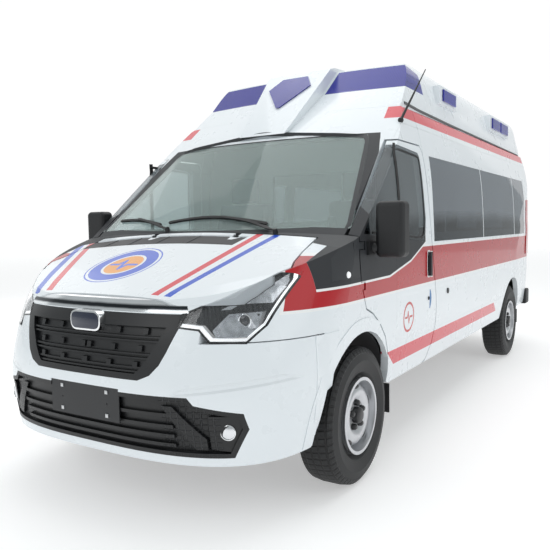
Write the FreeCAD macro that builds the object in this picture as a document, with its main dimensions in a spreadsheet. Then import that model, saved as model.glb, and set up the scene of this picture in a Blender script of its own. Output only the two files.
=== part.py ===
"""Van ambulance with a high roof, hinged doors, hood and steered front wheels."""
import FreeCAD, Part
import math
import os
import Sketcher
from FreeCAD import Placement, Rotation, Vector

os.makedirs("parts", exist_ok=True)
doc = FreeCAD.newDocument("van_ambulance")
sheet = doc.addObject("Spreadsheet::Sheet", "sizes")

SIZES = [
    ("overall_length", 5780, "nose to rear step"),
    ("half_width", 985, "centre line to the widest side skin"),
    ("overall_height", 2550, "ground to roof crown"),
    ("wheelbase", 3750, "front axle to rear axle"),
    ("front_overhang", 1010, "nose to front axle"),
    ("tyre_dia", 728, "outside diameter of a tyre"),
    ("tyre_width", 215, "section width of a tyre"),
    ("rim_dia", 410, "bead seat diameter"),
    ("front_track", 1737, "between front tyre centres"),
    ("rear_track", 1710, "between rear tyre centres"),
    ("wall_thick", 45, "doors, side walls and roof"),
    ("hood_thick", 28, "hood and fenders"),
    ("seam_gap", 10, "gap round a moving panel"),
    ("fixed_gap", 0.4, "gap between fixed panels"),
    ("face_gap", 0.4, "gap between curved faces of two pieces"),
    ("glass_thick", 5, "side and rear glass"),
    ("glass_sink", 1, "glass below the skin"),
    ("screen_thick", 5, "windscreen"),
    ("lens_thick", 14, "roof light lenses"),
    ("arch_radius", 445, "front and rear wheel opening"),
    ("liner_thick", 8, "wheel well liner"),
    ("floor_top", 600, "load floor above the ground"),
    ("floor_thick", 70, "load floor slab"),
    ("rail_width", 80, "frame rail"),
    ("rail_height", 110, "frame rail"),
    ("rail_offset", 420, "rail centre from the middle"),
    ("pin_offset", 760, "steering pin from the middle"),
    ("spindle_dia", 64, "wheel spindle"),
    ("running_fit", 0.05, "radial play of a turning fit"),
    ("plate_width", 456, "number plate"),
    ("plate_height", 160, "number plate"),
    ("plate_thick", 6, "number plate"),
    ("plate_hole_dia", 7, "number plate screw hole"),
    ("plate_hole_pitch", 300, "between the number plate holes"),
    ("hinge_radius", 9, "rear door hinge barrel"),
    ("hinge_rise", 32, "height of one hinge barrel"),
    ("hinge_out", 11, "rear hinge pin behind the door face"),
    ("hinge_lift", 4, "rear hinge leaf above the body"),
    ("hinge_pin_dia", 5, "cab door and hood hinge pins"),
    ("steer_pin_dia", 24, "steering pin"),
    ("shaft_dia", 24, "steering shaft"),
    ("handwheel_dia", 400, "steering wheel"),
    ("handwheel_grip", 30, "steering wheel grip"),
    ("engine_length", 480, "engine block"),
    ("engine_width", 620, "engine block"),
    ("engine_height", 520, "engine block"),
    ("antenna_base_dia", 18, "roof aerial"),
    ("antenna_tip_dia", 6, "roof aerial"),
    ("end_play", 1, "between hinge barrels, end to end"),
    ("joined", 2, "overlap of forms that are made as one piece"),
    ("grille_depth", 20, "grille opening below the skin"),
    ("slat_sink", 6, "grille slats below the skin"),
    ("slat_rise", 8, "thickness of one slat"),
    ("lamp_edge", 9, "rim of a headlamp"),
    ("lamp_depth", 20, "headlamp bowl below the skin"),
    ("light_line", 12, "width of the daytime light line"),
    ("light_sink", 6, "light line and projector below the skin"),
    ("projector_dia", 68, "headlamp projector"),
    ("fog_dia", 72, "fog lamp"),
    ("handle_length", 170, "door handle"),
    ("handle_grip", 28, "door handle"),
    ("handle_rise", 20, "door handle above the skin"),
    ("handle_cup", 14, "hand recess below the skin"),
    ("vent_sink", 6, "hood vent below the skin"),
]
for row, (alias, value, note) in enumerate(SIZES, 1):
    sheet.set(f"A{row}", alias)
    sheet.set(f"B{row}", str(value))
    sheet.set(f"C{row}", note)
    sheet.setAlias(f"B{row}", alias)
doc.recompute()


class Dim:
    """A length with both its value and the sheet expression behind it."""

    def __init__(self, value, text):
        self.value = float(value)
        self.text = text

    def join(self, other, sign, value):
        other_text = other.text if isinstance(other, Dim) else repr(other)
        return Dim(value, f"({self.text} {sign} {other_text})")

    def __float__(self):
        return self.value

    def __add__(self, other):
        return self.join(other, "+", self.value + float(other))

    def __sub__(self, other):
        return self.join(other, "-", self.value - float(other))

    def __mul__(self, other):
        return self.join(other, "*", self.value * float(other))

    def __truediv__(self, other):
        return self.join(other, "/", self.value / float(other))

    def __neg__(self):
        return Dim(-self.value, f"(0 - {self.text})")


class Sizes:
    """Named sizes read from the sheet."""

    def __getattr__(self, alias):
        return Dim(sheet.get(alias), f"sizes.{alias}")


z = Sizes()
FRONT_AXLE = -z.overall_length / 2 + z.front_overhang
REAR_AXLE = FRONT_AXLE + z.wheelbase
AXLE_HEIGHT = z.tyre_dia / 2
made = []


def size(alias):
    """Plain value of one named size."""
    return float(getattr(z, alias))


def aft(share):
    """Length position from the front axle as a share of the wheelbase."""
    return float(FRONT_AXLE) + share * size("wheelbase")


def high(share):
    """Height as a share of the overall height."""
    return share * size("overall_height")


def wide(share):
    """Sideways position as a share of the half width."""
    return share * size("half_width")


def bind(item, prop, dim):
    """Tie one property of an object to the sheet."""
    item.setExpression(prop, dim.text)


def keep(item, node):
    """Register a finished object as the sub-part with this name."""
    item.Label = node
    made.append(item)
    return item


def feature(node, shape, place=None):
    """Store a finished shape as a sub-part."""
    item = doc.addObject("Part::Feature", node + "_form")
    item.Shape = shape
    item.Placement = place or Placement()
    return keep(item, node)


# Outlines and their offsets

def grow(points, amount):
    """Move a closed outline outward by a set distance."""
    count = len(points)
    area = sum(points[i][0] * points[(i + 1) % count][1] - points[(i + 1) % count][0] * points[i][1]
               for i in range(count))
    turn = 1 if area > 0 else -1
    out = []
    for i in range(count):
        (ax, ay), (bx, by), (cx, cy) = points[i - 1], points[i], points[(i + 1) % count]
        ux, uy = bx - ax, by - ay
        wx, wy = cx - bx, cy - by
        ul, wl = math.hypot(ux, uy), math.hypot(wx, wy)
        nx, ny = turn * uy / ul, -turn * ux / ul
        mx, my = turn * wy / wl, -turn * wx / wl
        scale = amount / (1 + nx * mx + ny * my)
        out.append((bx + (nx + mx) * scale, by + (ny + my) * scale))
    return out


def polygon_face(points, put):
    """Flat face from outline points placed by put."""
    vectors = [put(a, b) for a, b in points]
    return Part.Face(Part.makePolygon(vectors + vectors[:1]))


def side_prism(points, side=1, inner=0, extra=0):
    """Solid seen from the side: points are (length, height), reaching outward."""
    pts = grow(points, extra) if extra else points
    start = side * inner
    face = polygon_face(pts, lambda a, b: Vector(start, a, b))
    return face.extrude(Vector(side * (1.5 * size("half_width") - inner), 0, 0))


def cross_prism(points, extra=0):
    """Solid seen from the side that runs through the full width."""
    pts = grow(points, extra) if extra else points
    reach = 1.5 * size("half_width")
    face = polygon_face(pts, lambda a, b: Vector(-reach, a, b))
    return face.extrude(Vector(2 * reach, 0, 0))


def front_prism(points, near, far, extra=0):
    """Solid seen from the front: points are (sideways, height)."""
    pts = grow(points, extra) if extra else points
    face = polygon_face(pts, lambda a, b: Vector(a, near, b))
    return face.extrude(Vector(0, far - near, 0))


def plan_prism(points, low, top, extra=0):
    """Solid seen from above: points are (sideways, length)."""
    pts = grow(points, extra) if extra else points
    face = polygon_face(pts, lambda a, b: Vector(a, b, low))
    return face.extrude(Vector(0, 0, top - low))


def block(x0, x1, y0, y1, z0, z1):
    """Box between two corners."""
    return Part.makeBox(x1 - x0, y1 - y0, z1 - z0, Vector(x0, y0, z0))


def rod(radius, start, end):
    """Cylinder between two points."""
    start, end = Vector(*start), Vector(*end)
    return Part.makeCylinder(radius, (end - start).Length, start, end - start)


def mirrored(shape):
    """The same shape on the other side of the vehicle."""
    return shape.mirror(Vector(0, 0, 0), Vector(1, 0, 0))


def both(points):
    """Close a half outline over the middle line."""
    return points + [(-a, b) for a, b in reversed(points)]


def fused(shapes):
    """Join shapes and clean the seams."""
    first = shapes[0]
    return first.fuse(shapes[1:]).removeSplitter() if len(shapes) > 1 else first


def solids_of(shape):
    """Keep only the solids of a result."""
    solids = [solid for solid in shape.Solids if solid.Volume > high(0.01) ** 3]
    return solids[0] if len(solids) == 1 else Part.makeCompound(solids)


# Body surface

SECTION_SIDE = [
    (0.939, 0.118), (0.972, 0.173), (0.997, 0.259), (1, 0.373), (0.999, 0.478), (0.99, 0.569),
    (0.956, 0.714), (0.919, 0.776), (0.877, 0.827),
]
SECTION_ROOF = [(0.851, 0.835), (0.84, 0.863), (0.817, 0.898), (0.78, 0.953), (0.726, 0.98)]
SECTION_CROWN = [(0.726, 0.98), (0.406, 0.996), (0, 1)]
PROFILE_SHARES = [
    (-0.307, 0.059), (-0.307, 0.365), (-0.233, 0.412), (-0.032, 0.527), (0.153, 0.763),
    (0.279, 0.902), (0.324, 0.971), (0.432, 0.996), (0.693, 1.004), (1.147, 1.004), (1.387, 1.004),
    (1.387, 0.059),
]
BOW_REACH_SHARE = 0.95
BOW_DEPTH_SHARES = (0, 0.16, 0.45, 0.085, 0.085, 0.075, 0.07, 0.07, 0, 0, 0, 0)
HOOD_DROP_SHARES = (0, 0.015, -0.055, 0.012, 0.024, 0.01, 0.002, 0, 0, 0, 0, 0)
NOSE_LEVELS = [
    (0.118, 0.914, -0.257, 0.171, 3), (0.176, 0.959, -0.263, 0.197, 3),
    (0.267, 0.99, -0.269, 0.219, 2.8), (0.322, 0.999, -0.263, 0.229, 2.7),
    (0.369, 1, -0.255, 0.229, 2.6), (0.412, 1, -0.237, 0.224, 2.6), (0.549, 1, -0.165, 0.181, 2.6),
]
NOSE_STEPS = 6
TAPER_START_SHARE = 1.04
TAPER_SHARE = 0.028
REAR_ROUND_SHARE = 0.12
REAR_LEAN_SHARE = 0.025


def smooth(points):
    """Curve through points."""
    curve = Part.BSplineCurve()
    curve.interpolate(points)
    return curve.toShape()


def section_solid(inset):
    """Body cross-section drawn out over the whole length."""
    reach = size("overall_length")
    side = [Vector(wide(a) - inset, -reach, high(b)) for a, b in SECTION_SIDE]
    roof = [Vector(wide(a) - inset, -reach, high(b) - 0.3 * inset) for a, b in SECTION_ROOF]
    roof[-1] = Vector(wide(SECTION_ROOF[-1][0]) - 0.8 * inset, -reach, high(SECTION_ROOF[-1][1]) - 0.8 * inset)
    crown = [roof[-1]] + [Vector(wide(a), -reach, high(b) - inset) for a, b in SECTION_CROWN[1:]]
    full = crown + [Vector(-v.x, v.y, v.z) for v in reversed(crown[:-1])]
    left_side = [Vector(-v.x, v.y, v.z) for v in reversed(side)]
    left_roof = [Vector(-v.x, v.y, v.z) for v in reversed(roof)]
    edges = [
        smooth(side),
        Part.LineSegment(side[-1], roof[0]).toShape(),
        smooth(roof),
        smooth(full),
        smooth(left_roof),
        Part.LineSegment(left_roof[-1], left_side[0]).toShape(),
        smooth(left_side),
        Part.LineSegment(left_side[-1], side[0]).toShape(),
    ]
    return Part.Face(Part.Wire(edges)).extrude(Vector(0, 2 * reach, 0))


def profile_solid(inset):
    """Hood, windscreen and roof front, bowed across the width."""
    wires = []
    for across in (-1.1, -0.8, -0.4, 0, 0.4, 0.8, 1.1):
        bow = (across / BOW_REACH_SHARE) ** 2
        points = []
        for (a, b), depth, drop in zip(PROFILE_SHARES, BOW_DEPTH_SHARES, HOOD_DROP_SHARES):
            points.append((aft(a) + depth * bow * wide(1), high(b) - drop * bow * size("overall_height")))
        if inset:
            points = grow(points, -inset)
        vectors = [Vector(wide(across), a, b) for a, b in points]
        wires.append(Part.makePolygon(vectors + vectors[:1]))
    return Part.makeLoft(wires, True, False)


def nose_wire(level, inset):
    """Plan outline of the body at one height."""
    height, width_share, front_share, depth_share, power = level
    width = wide(width_share) - inset
    front = aft(front_share) + inset
    depth = depth_share * size("wheelbase")
    rear = float(REAR_AXLE) + size("overall_length") - size("front_overhang") - size("wheelbase")
    rear -= wide(0.03) + REAR_LEAN_SHARE * (high(height) - high(0.2)) + inset
    curve = []
    for step in range(-NOSE_STEPS, NOSE_STEPS + 1):
        angle = abs(step) / NOSE_STEPS * math.pi / 2
        side = 1 if step > 0 else -1
        if step == 0:
            curve.append(Vector(0, front, high(height)))
            continue
        across = width * math.sin(angle) ** (2 / power) * side
        back = depth * (1 - (math.cos(angle) if abs(step) < NOSE_STEPS else 0) ** (2 / power))
        curve.append(Vector(across, front + back, high(height)))
    start, end = curve[0], curve[-1]
    taper = Vector(width, aft(TAPER_START_SHARE), high(height))
    rounding = REAR_ROUND_SHARE * size("half_width") - 0.5 * inset
    tail = Vector(width - wide(TAPER_SHARE), rear - rounding, high(height))
    corner = Vector(tail.x - rounding, rear, high(height))
    middle = Vector(corner.x + rounding * math.sin(math.pi / 4), tail.y + rounding * math.sin(math.pi / 4), high(height))
    flip = lambda v: Vector(-v.x, v.y, v.z)
    edges = [
        smooth(curve),
        Part.LineSegment(end, taper).toShape(),
        Part.LineSegment(taper, tail).toShape(),
        Part.Arc(tail, middle, corner).toShape(),
        Part.LineSegment(corner, flip(corner)).toShape(),
        Part.Arc(flip(corner), flip(middle), flip(tail)).toShape(),
        Part.LineSegment(flip(tail), flip(taper)).toShape(),
        Part.LineSegment(flip(taper), start).toShape(),
    ]
    return Part.Wire(edges)


def nose_solid(inset):
    """Nose rounding and rear corners at all heights."""
    wires = [nose_wire(level, inset) for level in NOSE_LEVELS]
    top = list(NOSE_LEVELS[-1])
    top[0] = 1.1
    upper = Part.makeLoft([nose_wire(NOSE_LEVELS[-1], inset), nose_wire(top, inset)], True, True)
    return Part.makeLoft(wires, True, False).fuse(upper)


body_cache = {}


def body(inset):
    """Whole body volume, with its surface moved inward by inset."""
    if inset not in body_cache:
        shape = section_solid(inset).common(profile_solid(inset)).common(nose_solid(inset))
        body_cache[inset] = shape
    return body_cache[inset]


def skin(outer, inner, region):
    """Layer of the body between two depths inside a region."""
    return region.common(body(outer)).cut(body(inner))


# Panel outlines, lengths as wheelbase shares and heights as shares of the height

DOOR_SHARES = [
    (-0.008, 0.524), (-0.009, 0.471), (-0.005, 0.424), (0.012, 0.365), (0.035, 0.351),
    (0.061, 0.325), (0.085, 0.29), (0.101, 0.247), (0.108, 0.204), (0.107, 0.178), (0.117, 0.173),
    (0.272, 0.173), (0.291, 0.18), (0.315, 0.22), (0.327, 0.275), (0.324, 0.337), (0.311, 0.42),
    (0.3, 0.486), (0.28, 0.718), (0.272, 0.733), (0.123, 0.733), (0.109, 0.725),
]
DOOR_LIMIT_SHARES = [(0.893, 0.118), (0.932, 0.524), (0.875, 0.765), (1.421, 0.765), (1.421, 0.118)]
DOOR_GLASS_SHARES = [
    (0.016, 0.524), (0.253, 0.5), (0.263, 0.514), (0.267, 0.549), (0.257, 0.702), (0.253, 0.708),
    (0.123, 0.718),
]
SLIDER_SHARES = [
    (0.347, 0.18), (0.667, 0.18), (0.673, 0.192), (0.673, 0.769), (0.667, 0.778), (0.317, 0.778),
    (0.311, 0.765), (0.311, 0.714), (0.311, 0.486), (0.32, 0.424), (0.333, 0.341), (0.336, 0.275),
    (0.333, 0.208),
]
GLASS_ONE_SHARES = [(0.315, 0.49), (0.672, 0.49), (0.672, 0.714), (0.315, 0.714)]
GLASS_TWO_SHARES = [(0.676, 0.49), (1.011, 0.49), (1.011, 0.714), (0.676, 0.714)]
GLASS_THREE_SHARES = [(1.015, 0.49), (1.168, 0.49), (1.163, 0.714), (1.015, 0.714)]
WALL_SHARES = [
    (0.253, 0.173), (0.853, 0.173), (1.147, 0.18), (1.387, 0.18), (1.387, 0.843), (0.288, 0.843),
    (0.285, 0.729),
]
ROOF_SHARES = [
    (0.08, 0.757), (0.16, 0.767), (0.224, 0.835), (1.387, 0.835), (1.387, 1.098), (0.08, 1.098),
]
FRAME_SHARES = [
    (-0.033, 0.527), (0.08, 0.757), (0.159, 0.765), (0.223, 0.843), (0.287, 0.843), (0.284, 0.729),
    (0.28, 0.49), (0.053, 0.49),
]
SCREEN_FRONT_SHARES = [
    (0, 0.51), (0.898, 0.51), (0.929, 0.533), (0.777, 0.739), (0.746, 0.755), (0, 0.784),
]
SCREEN_SIDE_SHARES = [(-0.035, 0.49), (-0.035, 0.706), (0.24, 0.902), (0.24, 0.49)]
COWL_SHARES = [
    (-0.082, 0.431), (-0.076, 0.473), (-0.037, 0.514), (-0.032, 0.528), (-0.008, 0.533),
    (0.013, 0.524), (0.013, 0.439), (-0.009, 0.431),
]
HOOD_PLAN_SHARES = [
    (0, -0.231), (0.305, -0.231), (0.492, -0.23), (0.609, -0.216), (0.706, -0.196), (0.766, -0.171),
    (0.812, -0.147), (0.848, -0.129), (0.824, -0.112), (0.802, -0.08), (0.787, -0.031),
    (0.406, -0.036), (0, -0.037),
]
GRILLE_SHARES = [(0.34, 0.272), (0.401, 0.282), (0.444, 0.3), (0.472, 0.322), (0.538, 0.386)]
GRILLE_OPENING_SHARES = [(0.32, 0.283), (0.343, 0.291), (0.378, 0.308), (0.431, 0.343), (0.455, 0.364)]
SLAT_HEIGHT_SHARES = (0.3424, 0.3129, 0.2898)
SLAT_PAIR_SHARE = 0.0035
STUD_ROW_SHARES = [(0.041, 0.356), (0.02, 0.326), (0.004, 0.298)]
STUD_PITCH_SHARE = 0.1553
STUD_HALF_SHARE = 0.0132
STRIP_SHARES = [(0.54, 0.388), (0.508, 0.41)]
LAMP_SHARES = [
    (0.508, 0.386), (0.506, 0.363), (0.599, 0.359), (0.65, 0.339), (0.787, 0.336), (0.843, 0.365),
    (0.898, 0.443), (0.888, 0.469), (0.67, 0.416),
]
LAMP_PLAN_SHARES = [
    (0.457, -0.32), (0.457, -0.235), (0.508, -0.229), (0.67, -0.187), (0.772, -0.16),
    (0.929, -0.117), (1.218, -0.117), (1.218, -0.32),
]
INTAKE_SHARES = [(0.751, 0.141), (0.812, 0.192), (0.797, 0.22), (0.609, 0.235), (0.581, 0.248)]
INTAKE_BAR_SHARES = (0.16, 0.1773, 0.1945, 0.2149)
INTAKE_MESH_SHARE = 0.5076
STRUT_SHARES = [(0.459, 0.231), (0.508, 0.231), (0.65, 0.175), (0.65, 0.155), (0.599, 0.155)]
POD_SHARES = [(0.665, 0.157), (0.746, 0.151), (0.797, 0.192), (0.787, 0.215), (0.665, 0.216)]
FOG_SHARES = (0.735, -0.1755, 0.1875)
FOG_AIM_SHARES = (0.42, -1, 0)
PROJECTOR_SHARES = (0.7533, -0.1701, 0.3733)
PROJECTOR_AIM_SHARES = (0.36, -1, 0)
BOWL_SHARES = [
    (0.652, 0.359), (0.701, 0.386), (0.814, 0.388), (0.808, 0.358), (0.78, 0.347), (0.672, 0.345),
]
LINE_LIMIT_SHARES = [
    (0.457, 0.373), (0.64, 0.38), (0.711, 0.4), (0.832, 0.4), (0.863, 0.475), (0.457, 0.51),
]
HANDLE_SHARES = [(0.284, 0.433)]
SLIDER_HANDLE_SHARES = [(0.363, 0.433)]
REAR_HANDLE_SHARES = [(0.063, 0.4)]
VENT_SHARES = [(-0.812, -0.076), (0.365, -0.076), (0.396, -0.044), (-0.812, -0.044)]
BAND_SHARES = [(0.213, 0.897), (0.392, 0.897), (0.387, 0.953), (0.32, 0.969), (0.213, 0.969)]
NOSE_SIDE_SHARES = [
    (0.153, 0.773), (0.293, 0.971), (0.315, 0.98), (0.467, 0.998), (0.467, 0.902), (0.267, 0.824),
]
NOSE_FRONT_SHARES = [(0.168, 0.745), (0.259, 0.969), (0.228, 1.02)]
REAR_DOOR_SHARES = [
    (0.006, 0.247), (0.843, 0.247), (0.858, 0.259), (0.858, 0.686), (0.812, 0.792), (0.746, 0.882),
    (0.711, 0.894), (0.006, 0.894),
]
REAR_GLASS_SHARES = [(0.091, 0.498), (0.731, 0.498), (0.731, 0.706), (0.701, 0.722), (0.091, 0.722)]
DASH_SHARES = [
    (0.021, 0.353), (0.021, 0.504), (0.037, 0.514), (0.112, 0.451), (0.12, 0.384), (0.096, 0.329),
]
BUMPER_TOP_SHARE = 0.337
ARCH_INNER_SHARE = 0.55
REAR_ARCH_INNER_SHARE = 0.715


def side_points(shares):
    return [(aft(a), high(b)) for a, b in shares]


def front_points(shares):
    return [(wide(a), high(b)) for a, b in shares]


def plan_points(shares):
    return [(wide(a), aft(b)) for a, b in shares]


SWING_ROOM = 1.8


def door_region(extra=0, shares=None):
    """Side outline on a front door, limited to the side skin."""
    room = extra * SWING_ROOM if extra > 0 else extra
    limit = front_prism(grow(front_points(DOOR_LIMIT_SHARES), room), aft(-0.2), aft(0.5))
    return side_prism(side_points(shares or DOOR_SHARES), 1, wide(0.3), extra).common(limit)


def outside(depth, region):
    """Part of a region that lies outside the body surface moved inward by depth."""
    return region.cut(body(depth))


def wheel_cut(axle, inner, radius):
    """Cylinder that clears a wheel on the positive side."""
    reach = wide(1.3) - inner
    return Part.makeCylinder(radius, reach, Vector(inner, float(axle), float(AXLE_HEIGHT)), Vector(1, 0, 0))


def both_sides(shape):
    return [shape, mirrored(shape)]


def largest(shape):
    """Biggest solid of a result."""
    return max(shape.Solids, key=lambda solid: solid.Volume)


def sunk(panel, region, depth, forms, top):
    """Sink a region of a panel round forms that stand in it, their tops at another depth."""
    return panel.cut(outside(depth, region.cut(forms))).cut(outside(top, region))


def barrel(radius, middle, aim, top, depth):
    """Round form that faces a given way and follows the skin between two depths."""
    centre = Vector(*middle)
    way = Vector(*aim).normalize() * size("wall_thick") * 2
    return rod(radius, tuple(centre - way), tuple(centre + way)).common(body(top)).cut(body(depth))


def handle(panel, shares, side_plane=True):
    """Put an upright grip over a hand recess in a door."""
    along, up = shares
    cup = size("handle_length") / 2 - size("handle_grip") / 2
    half = size("handle_grip") / 2
    rise = size("handle_rise")
    place = (aft(along), high(up)) if side_plane else (wide(along), high(up))
    cup_points = [(place[0] - 2 * half, place[1] - cup), (place[0] + 2 * half, place[1] - cup),
                  (place[0] + 2 * half, place[1] + cup), (place[0] - 2 * half, place[1] + cup)]
    grip_points = [(place[0] - half, place[1] - cup - half), (place[0] + half, place[1] - cup - half),
                   (place[0] + half, place[1] + cup + half), (place[0] - half, place[1] + cup + half)]
    if side_plane:
        cup_zone = side_prism(cup_points, 1, wide(0.3))
        grip_zone = side_prism(grip_points, 1, wide(0.3))
    else:
        cup_zone = front_prism(cup_points, aft(REAR_NEAR_SHARE), aft(REAR_FAR_SHARE))
        grip_zone = front_prism(grip_points, aft(REAR_NEAR_SHARE), aft(REAR_FAR_SHARE))
    bar = grip_zone.common(body(-rise)).cut(body(size("glass_sink")))
    return largest(panel.fuse(bar).cut(outside(size("handle_cup"), cup_zone).cut(outside(-size("face_gap"), grip_zone))))


REAR_NEAR_SHARE = 1.16
REAR_FAR_SHARE = 1.3867


def door_hinge(share):
    """Notch and bore in a front door, and the fixed leaf with its pin."""
    across = wide(DOOR_PIN_SHARE)
    along = aft(DOOR_PIN_ALONG_SHARE)
    middle = high(share)
    half = size("hinge_rise") * 0.7
    radius = size("hinge_pin_dia") / 2
    low, top = middle - 2.2 * half, middle + 2.2 * half
    notch = block(wide(0.9), wide(1.1), along - wide(0.2), along + wide(0.022), middle - half, middle + half)
    bore = Part.makeCylinder(radius + size("running_fit"), top - low, Vector(across, along, low))
    pin = Part.makeCylinder(radius, top - low - 2 * size("end_play"), Vector(across, along, low + size("end_play")))
    leaf = block(across - wide(0.018), across + radius, along - wide(0.12), along + wide(0.006), middle - half * 0.8, middle + half * 0.8)
    return notch, bore, leaf.fuse(pin)


DOOR_PIN_SHARE = 0.9949
DOOR_PIN_ALONG_SHARE = 0.0032
DOOR_HINGE_SHARES = (0.4118, 0.4941)


def build_doors():
    """Front doors with their window openings, glass and mirrors."""
    opening = side_points(DOOR_GLASS_SHARES)
    thick = size("wall_thick")
    panel = skin(0, thick, door_region())
    hole = side_prism(opening, 1, wide(0.3))
    rim = wide(0.018)
    depth = size("glass_sink") + size("glass_thick")
    rebate = outside(depth + size("face_gap"), door_region(rim, DOOR_GLASS_SHARES))
    panel = panel.cut(hole).cut(rebate)
    for share in DOOR_HINGE_SHARES:
        notch, bore, leaf = door_hinge(share)
        panel = panel.cut(notch).cut(bore)
    panel = handle(largest(panel), HANDLE_SHARES[0])
    pane_zone = door_region(rim - size("face_gap"), DOOR_GLASS_SHARES).common(door_region(-size("glass_thick")))
    pane = largest(skin(size("glass_sink"), depth, pane_zone))
    for side, name in ((1, "left"), (-1, "right")):
        feature("front_door_" + name, panel if side > 0 else mirrored(panel))
        feature("door_glass_" + name, pane if side > 0 else mirrored(pane))


def build_mirrors():
    """Door mirrors on short arms."""
    for side, name in ((1, "left"), (-1, "right")):
        foot = block(wide(0.97), wide(1.0152), aft(0.0133), aft(0.0373), high(0.4745), high(0.502))
        head = block(wide(1.0254), wide(1.1878), aft(0.024), aft(0.0533), high(0.4686), high(0.5843))
        head = head.makeFillet(wide(0.03), head.Edges)
        arm = rod(wide(0.028), (wide(0.975), aft(0.0267), high(0.4882)), (wide(1.08), aft(0.0373), high(0.4882)))
        shape = largest(fused([head, arm, foot]).cut(body(-size("face_gap"))))
        feature("mirror_" + name, shape if side > 0 else mirrored(shape))


def build_side_walls():
    """Side walls, sliding door and flush side glass."""
    gap = size("fixed_gap")
    thick = size("wall_thick")
    door = door_region(size("seam_gap"))
    wall = skin(0, thick, side_prism(side_points(WALL_SHARES), 1, wide(0.3)))
    rear_hole = rear_door_prism(size("seam_gap"))
    wall = wall.cut(door).cut(wheel_cut(REAR_AXLE, wide(0.6), size("arch_radius"))).cut(rear_hole)
    wall = wall.cut(cross_prism(side_points(ROOF_SHARES), gap)).cut(step_box(gap))
    sink = size("glass_sink") + size("glass_thick")
    panes = []
    for shares in (GLASS_ONE_SHARES, GLASS_TWO_SHARES, GLASS_THREE_SHARES):
        points = side_points(shares)
        rebate = outside(sink + size("face_gap"), side_prism(points, 1, wide(0.3)))
        hole = side_prism(points, 1, wide(0.3), -wide(0.06))
        wall = wall.cut(rebate).cut(hole)
        panes.append(solids_of(skin(size("glass_sink"), sink, side_prism(points, 1, wide(0.3), -size("face_gap")))))
    wall = solids_of(fused([wall] + hinge_pieces(False)))
    feature("side_wall_left", wall)
    slider_tool = side_prism(side_points(SLIDER_SHARES), 1, wide(0.3))
    slider_gap = side_prism(side_points(SLIDER_SHARES), 1, wide(0.3), gap)
    slider = skin(0, thick, slider_tool)
    points = side_points(GLASS_ONE_SHARES)
    slider = slider.cut(outside(sink + size("face_gap"), side_prism(points, 1, wide(0.3))))
    slider = slider.cut(side_prism(points, 1, wide(0.3), -wide(0.06)))
    feature("sliding_door", mirrored(handle(largest(slider), SLIDER_HANDLE_SHARES[0])))
    feature("side_wall_right", mirrored(solids_of(wall.cut(slider_gap))))
    feature("side_glass", Part.makeCompound(panes + [mirrored(pane) for pane in panes]))


def rear_door_prism(extra):
    """Space taken by the rear doors, from the rear."""
    near = aft(REAR_NEAR_SHARE)
    far = aft(REAR_FAR_SHARE)
    points = front_points(REAR_DOOR_SHARES)
    tool = front_prism(points, near, far, extra)
    return tool.fuse(mirrored(tool))


def build_rear_doors():
    """Hinged rear doors with glass."""
    near = aft(REAR_NEAR_SHARE)
    far = aft(REAR_FAR_SHARE)
    sink = size("glass_sink") + size("glass_thick")
    points = front_points(REAR_GLASS_SHARES)
    panel = skin(0, size("wall_thick"), front_prism(front_points(REAR_DOOR_SHARES), near, far))
    panel = panel.cut(outside(sink + size("face_gap"), front_prism(points, near, far)))
    panel = panel.cut(front_prism(points, near, far, -wide(0.05)))
    pane = skin(size("glass_sink"), sink, front_prism(points, near, far, -size("face_gap")))
    panel = solids_of(fused([panel] + hinge_pieces(True)))
    feature("rear_door_left", handle(panel, REAR_HANDLE_SHARES[0], False))
    feature("rear_door_right", mirrored(panel))
    for side, name in ((1, "left"), (-1, "right")):
        feature("rear_glass_" + name, solids_of(pane) if side > 0 else mirrored(solids_of(pane)))


def screen_prism(extra=0):
    """Windscreen outline seen from the front."""
    tool = front_prism(both(front_points(SCREEN_FRONT_SHARES[1:-1])), aft(-0.08), aft(0.2), extra)
    return tool.common(cross_prism(side_points(SCREEN_SIDE_SHARES)))


def build_frame():
    """Windscreen surround with pillars, the windscreen and the cowl."""
    frame = skin(0, size("wall_thick"), cross_prism(side_points(FRAME_SHARES)))
    door = door_region(size("seam_gap"))
    wall = side_prism(side_points(WALL_SHARES), 1, wide(0.3), size("fixed_gap"))
    cowl_tool = cross_prism(side_points(COWL_SHARES))
    cowl_gap = cross_prism(side_points(COWL_SHARES), size("fixed_gap"))
    glass_depth = size("glass_sink") + size("screen_thick")
    frame = frame.cut(cowl_gap).cut(cross_prism(side_points(ROOF_SHARES), size("fixed_gap")))
    for shape in both_sides(door) + both_sides(wall):
        frame = frame.cut(shape)
    frame = frame.cut(screen_prism(-wide(0.03)))
    frame = frame.cut(screen_prism().cut(body(glass_depth + size("face_gap"))))
    feature("windscreen_frame", largest(frame))
    glass = screen_prism(-size("face_gap")).common(body(size("glass_sink"))).cut(body(glass_depth))
    glass = glass.cut(cowl_gap)
    feature("windscreen", largest(glass))
    cowl = skin(0, size("hood_thick"), cowl_tool).cut(plan_prism(both(plan_points(HOOD_PLAN_SHARES[1:-1])), 0, high(1.2), size("seam_gap")))
    for shape in both_sides(door):
        cowl = cowl.cut(shape)
    leaves = both_sides(door_hinge(DOOR_HINGE_SHARES[1])[2]) + both_sides(hood_hinge()[2])
    feature("cowl", largest(fused([largest(cowl)] + leaves)))


def hood_tool(extra=0):
    """Region above the hood outline."""
    return plan_prism(both(plan_points(HOOD_PLAN_SHARES[1:-1])), high(0.4), high(0.6275), extra)


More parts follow.
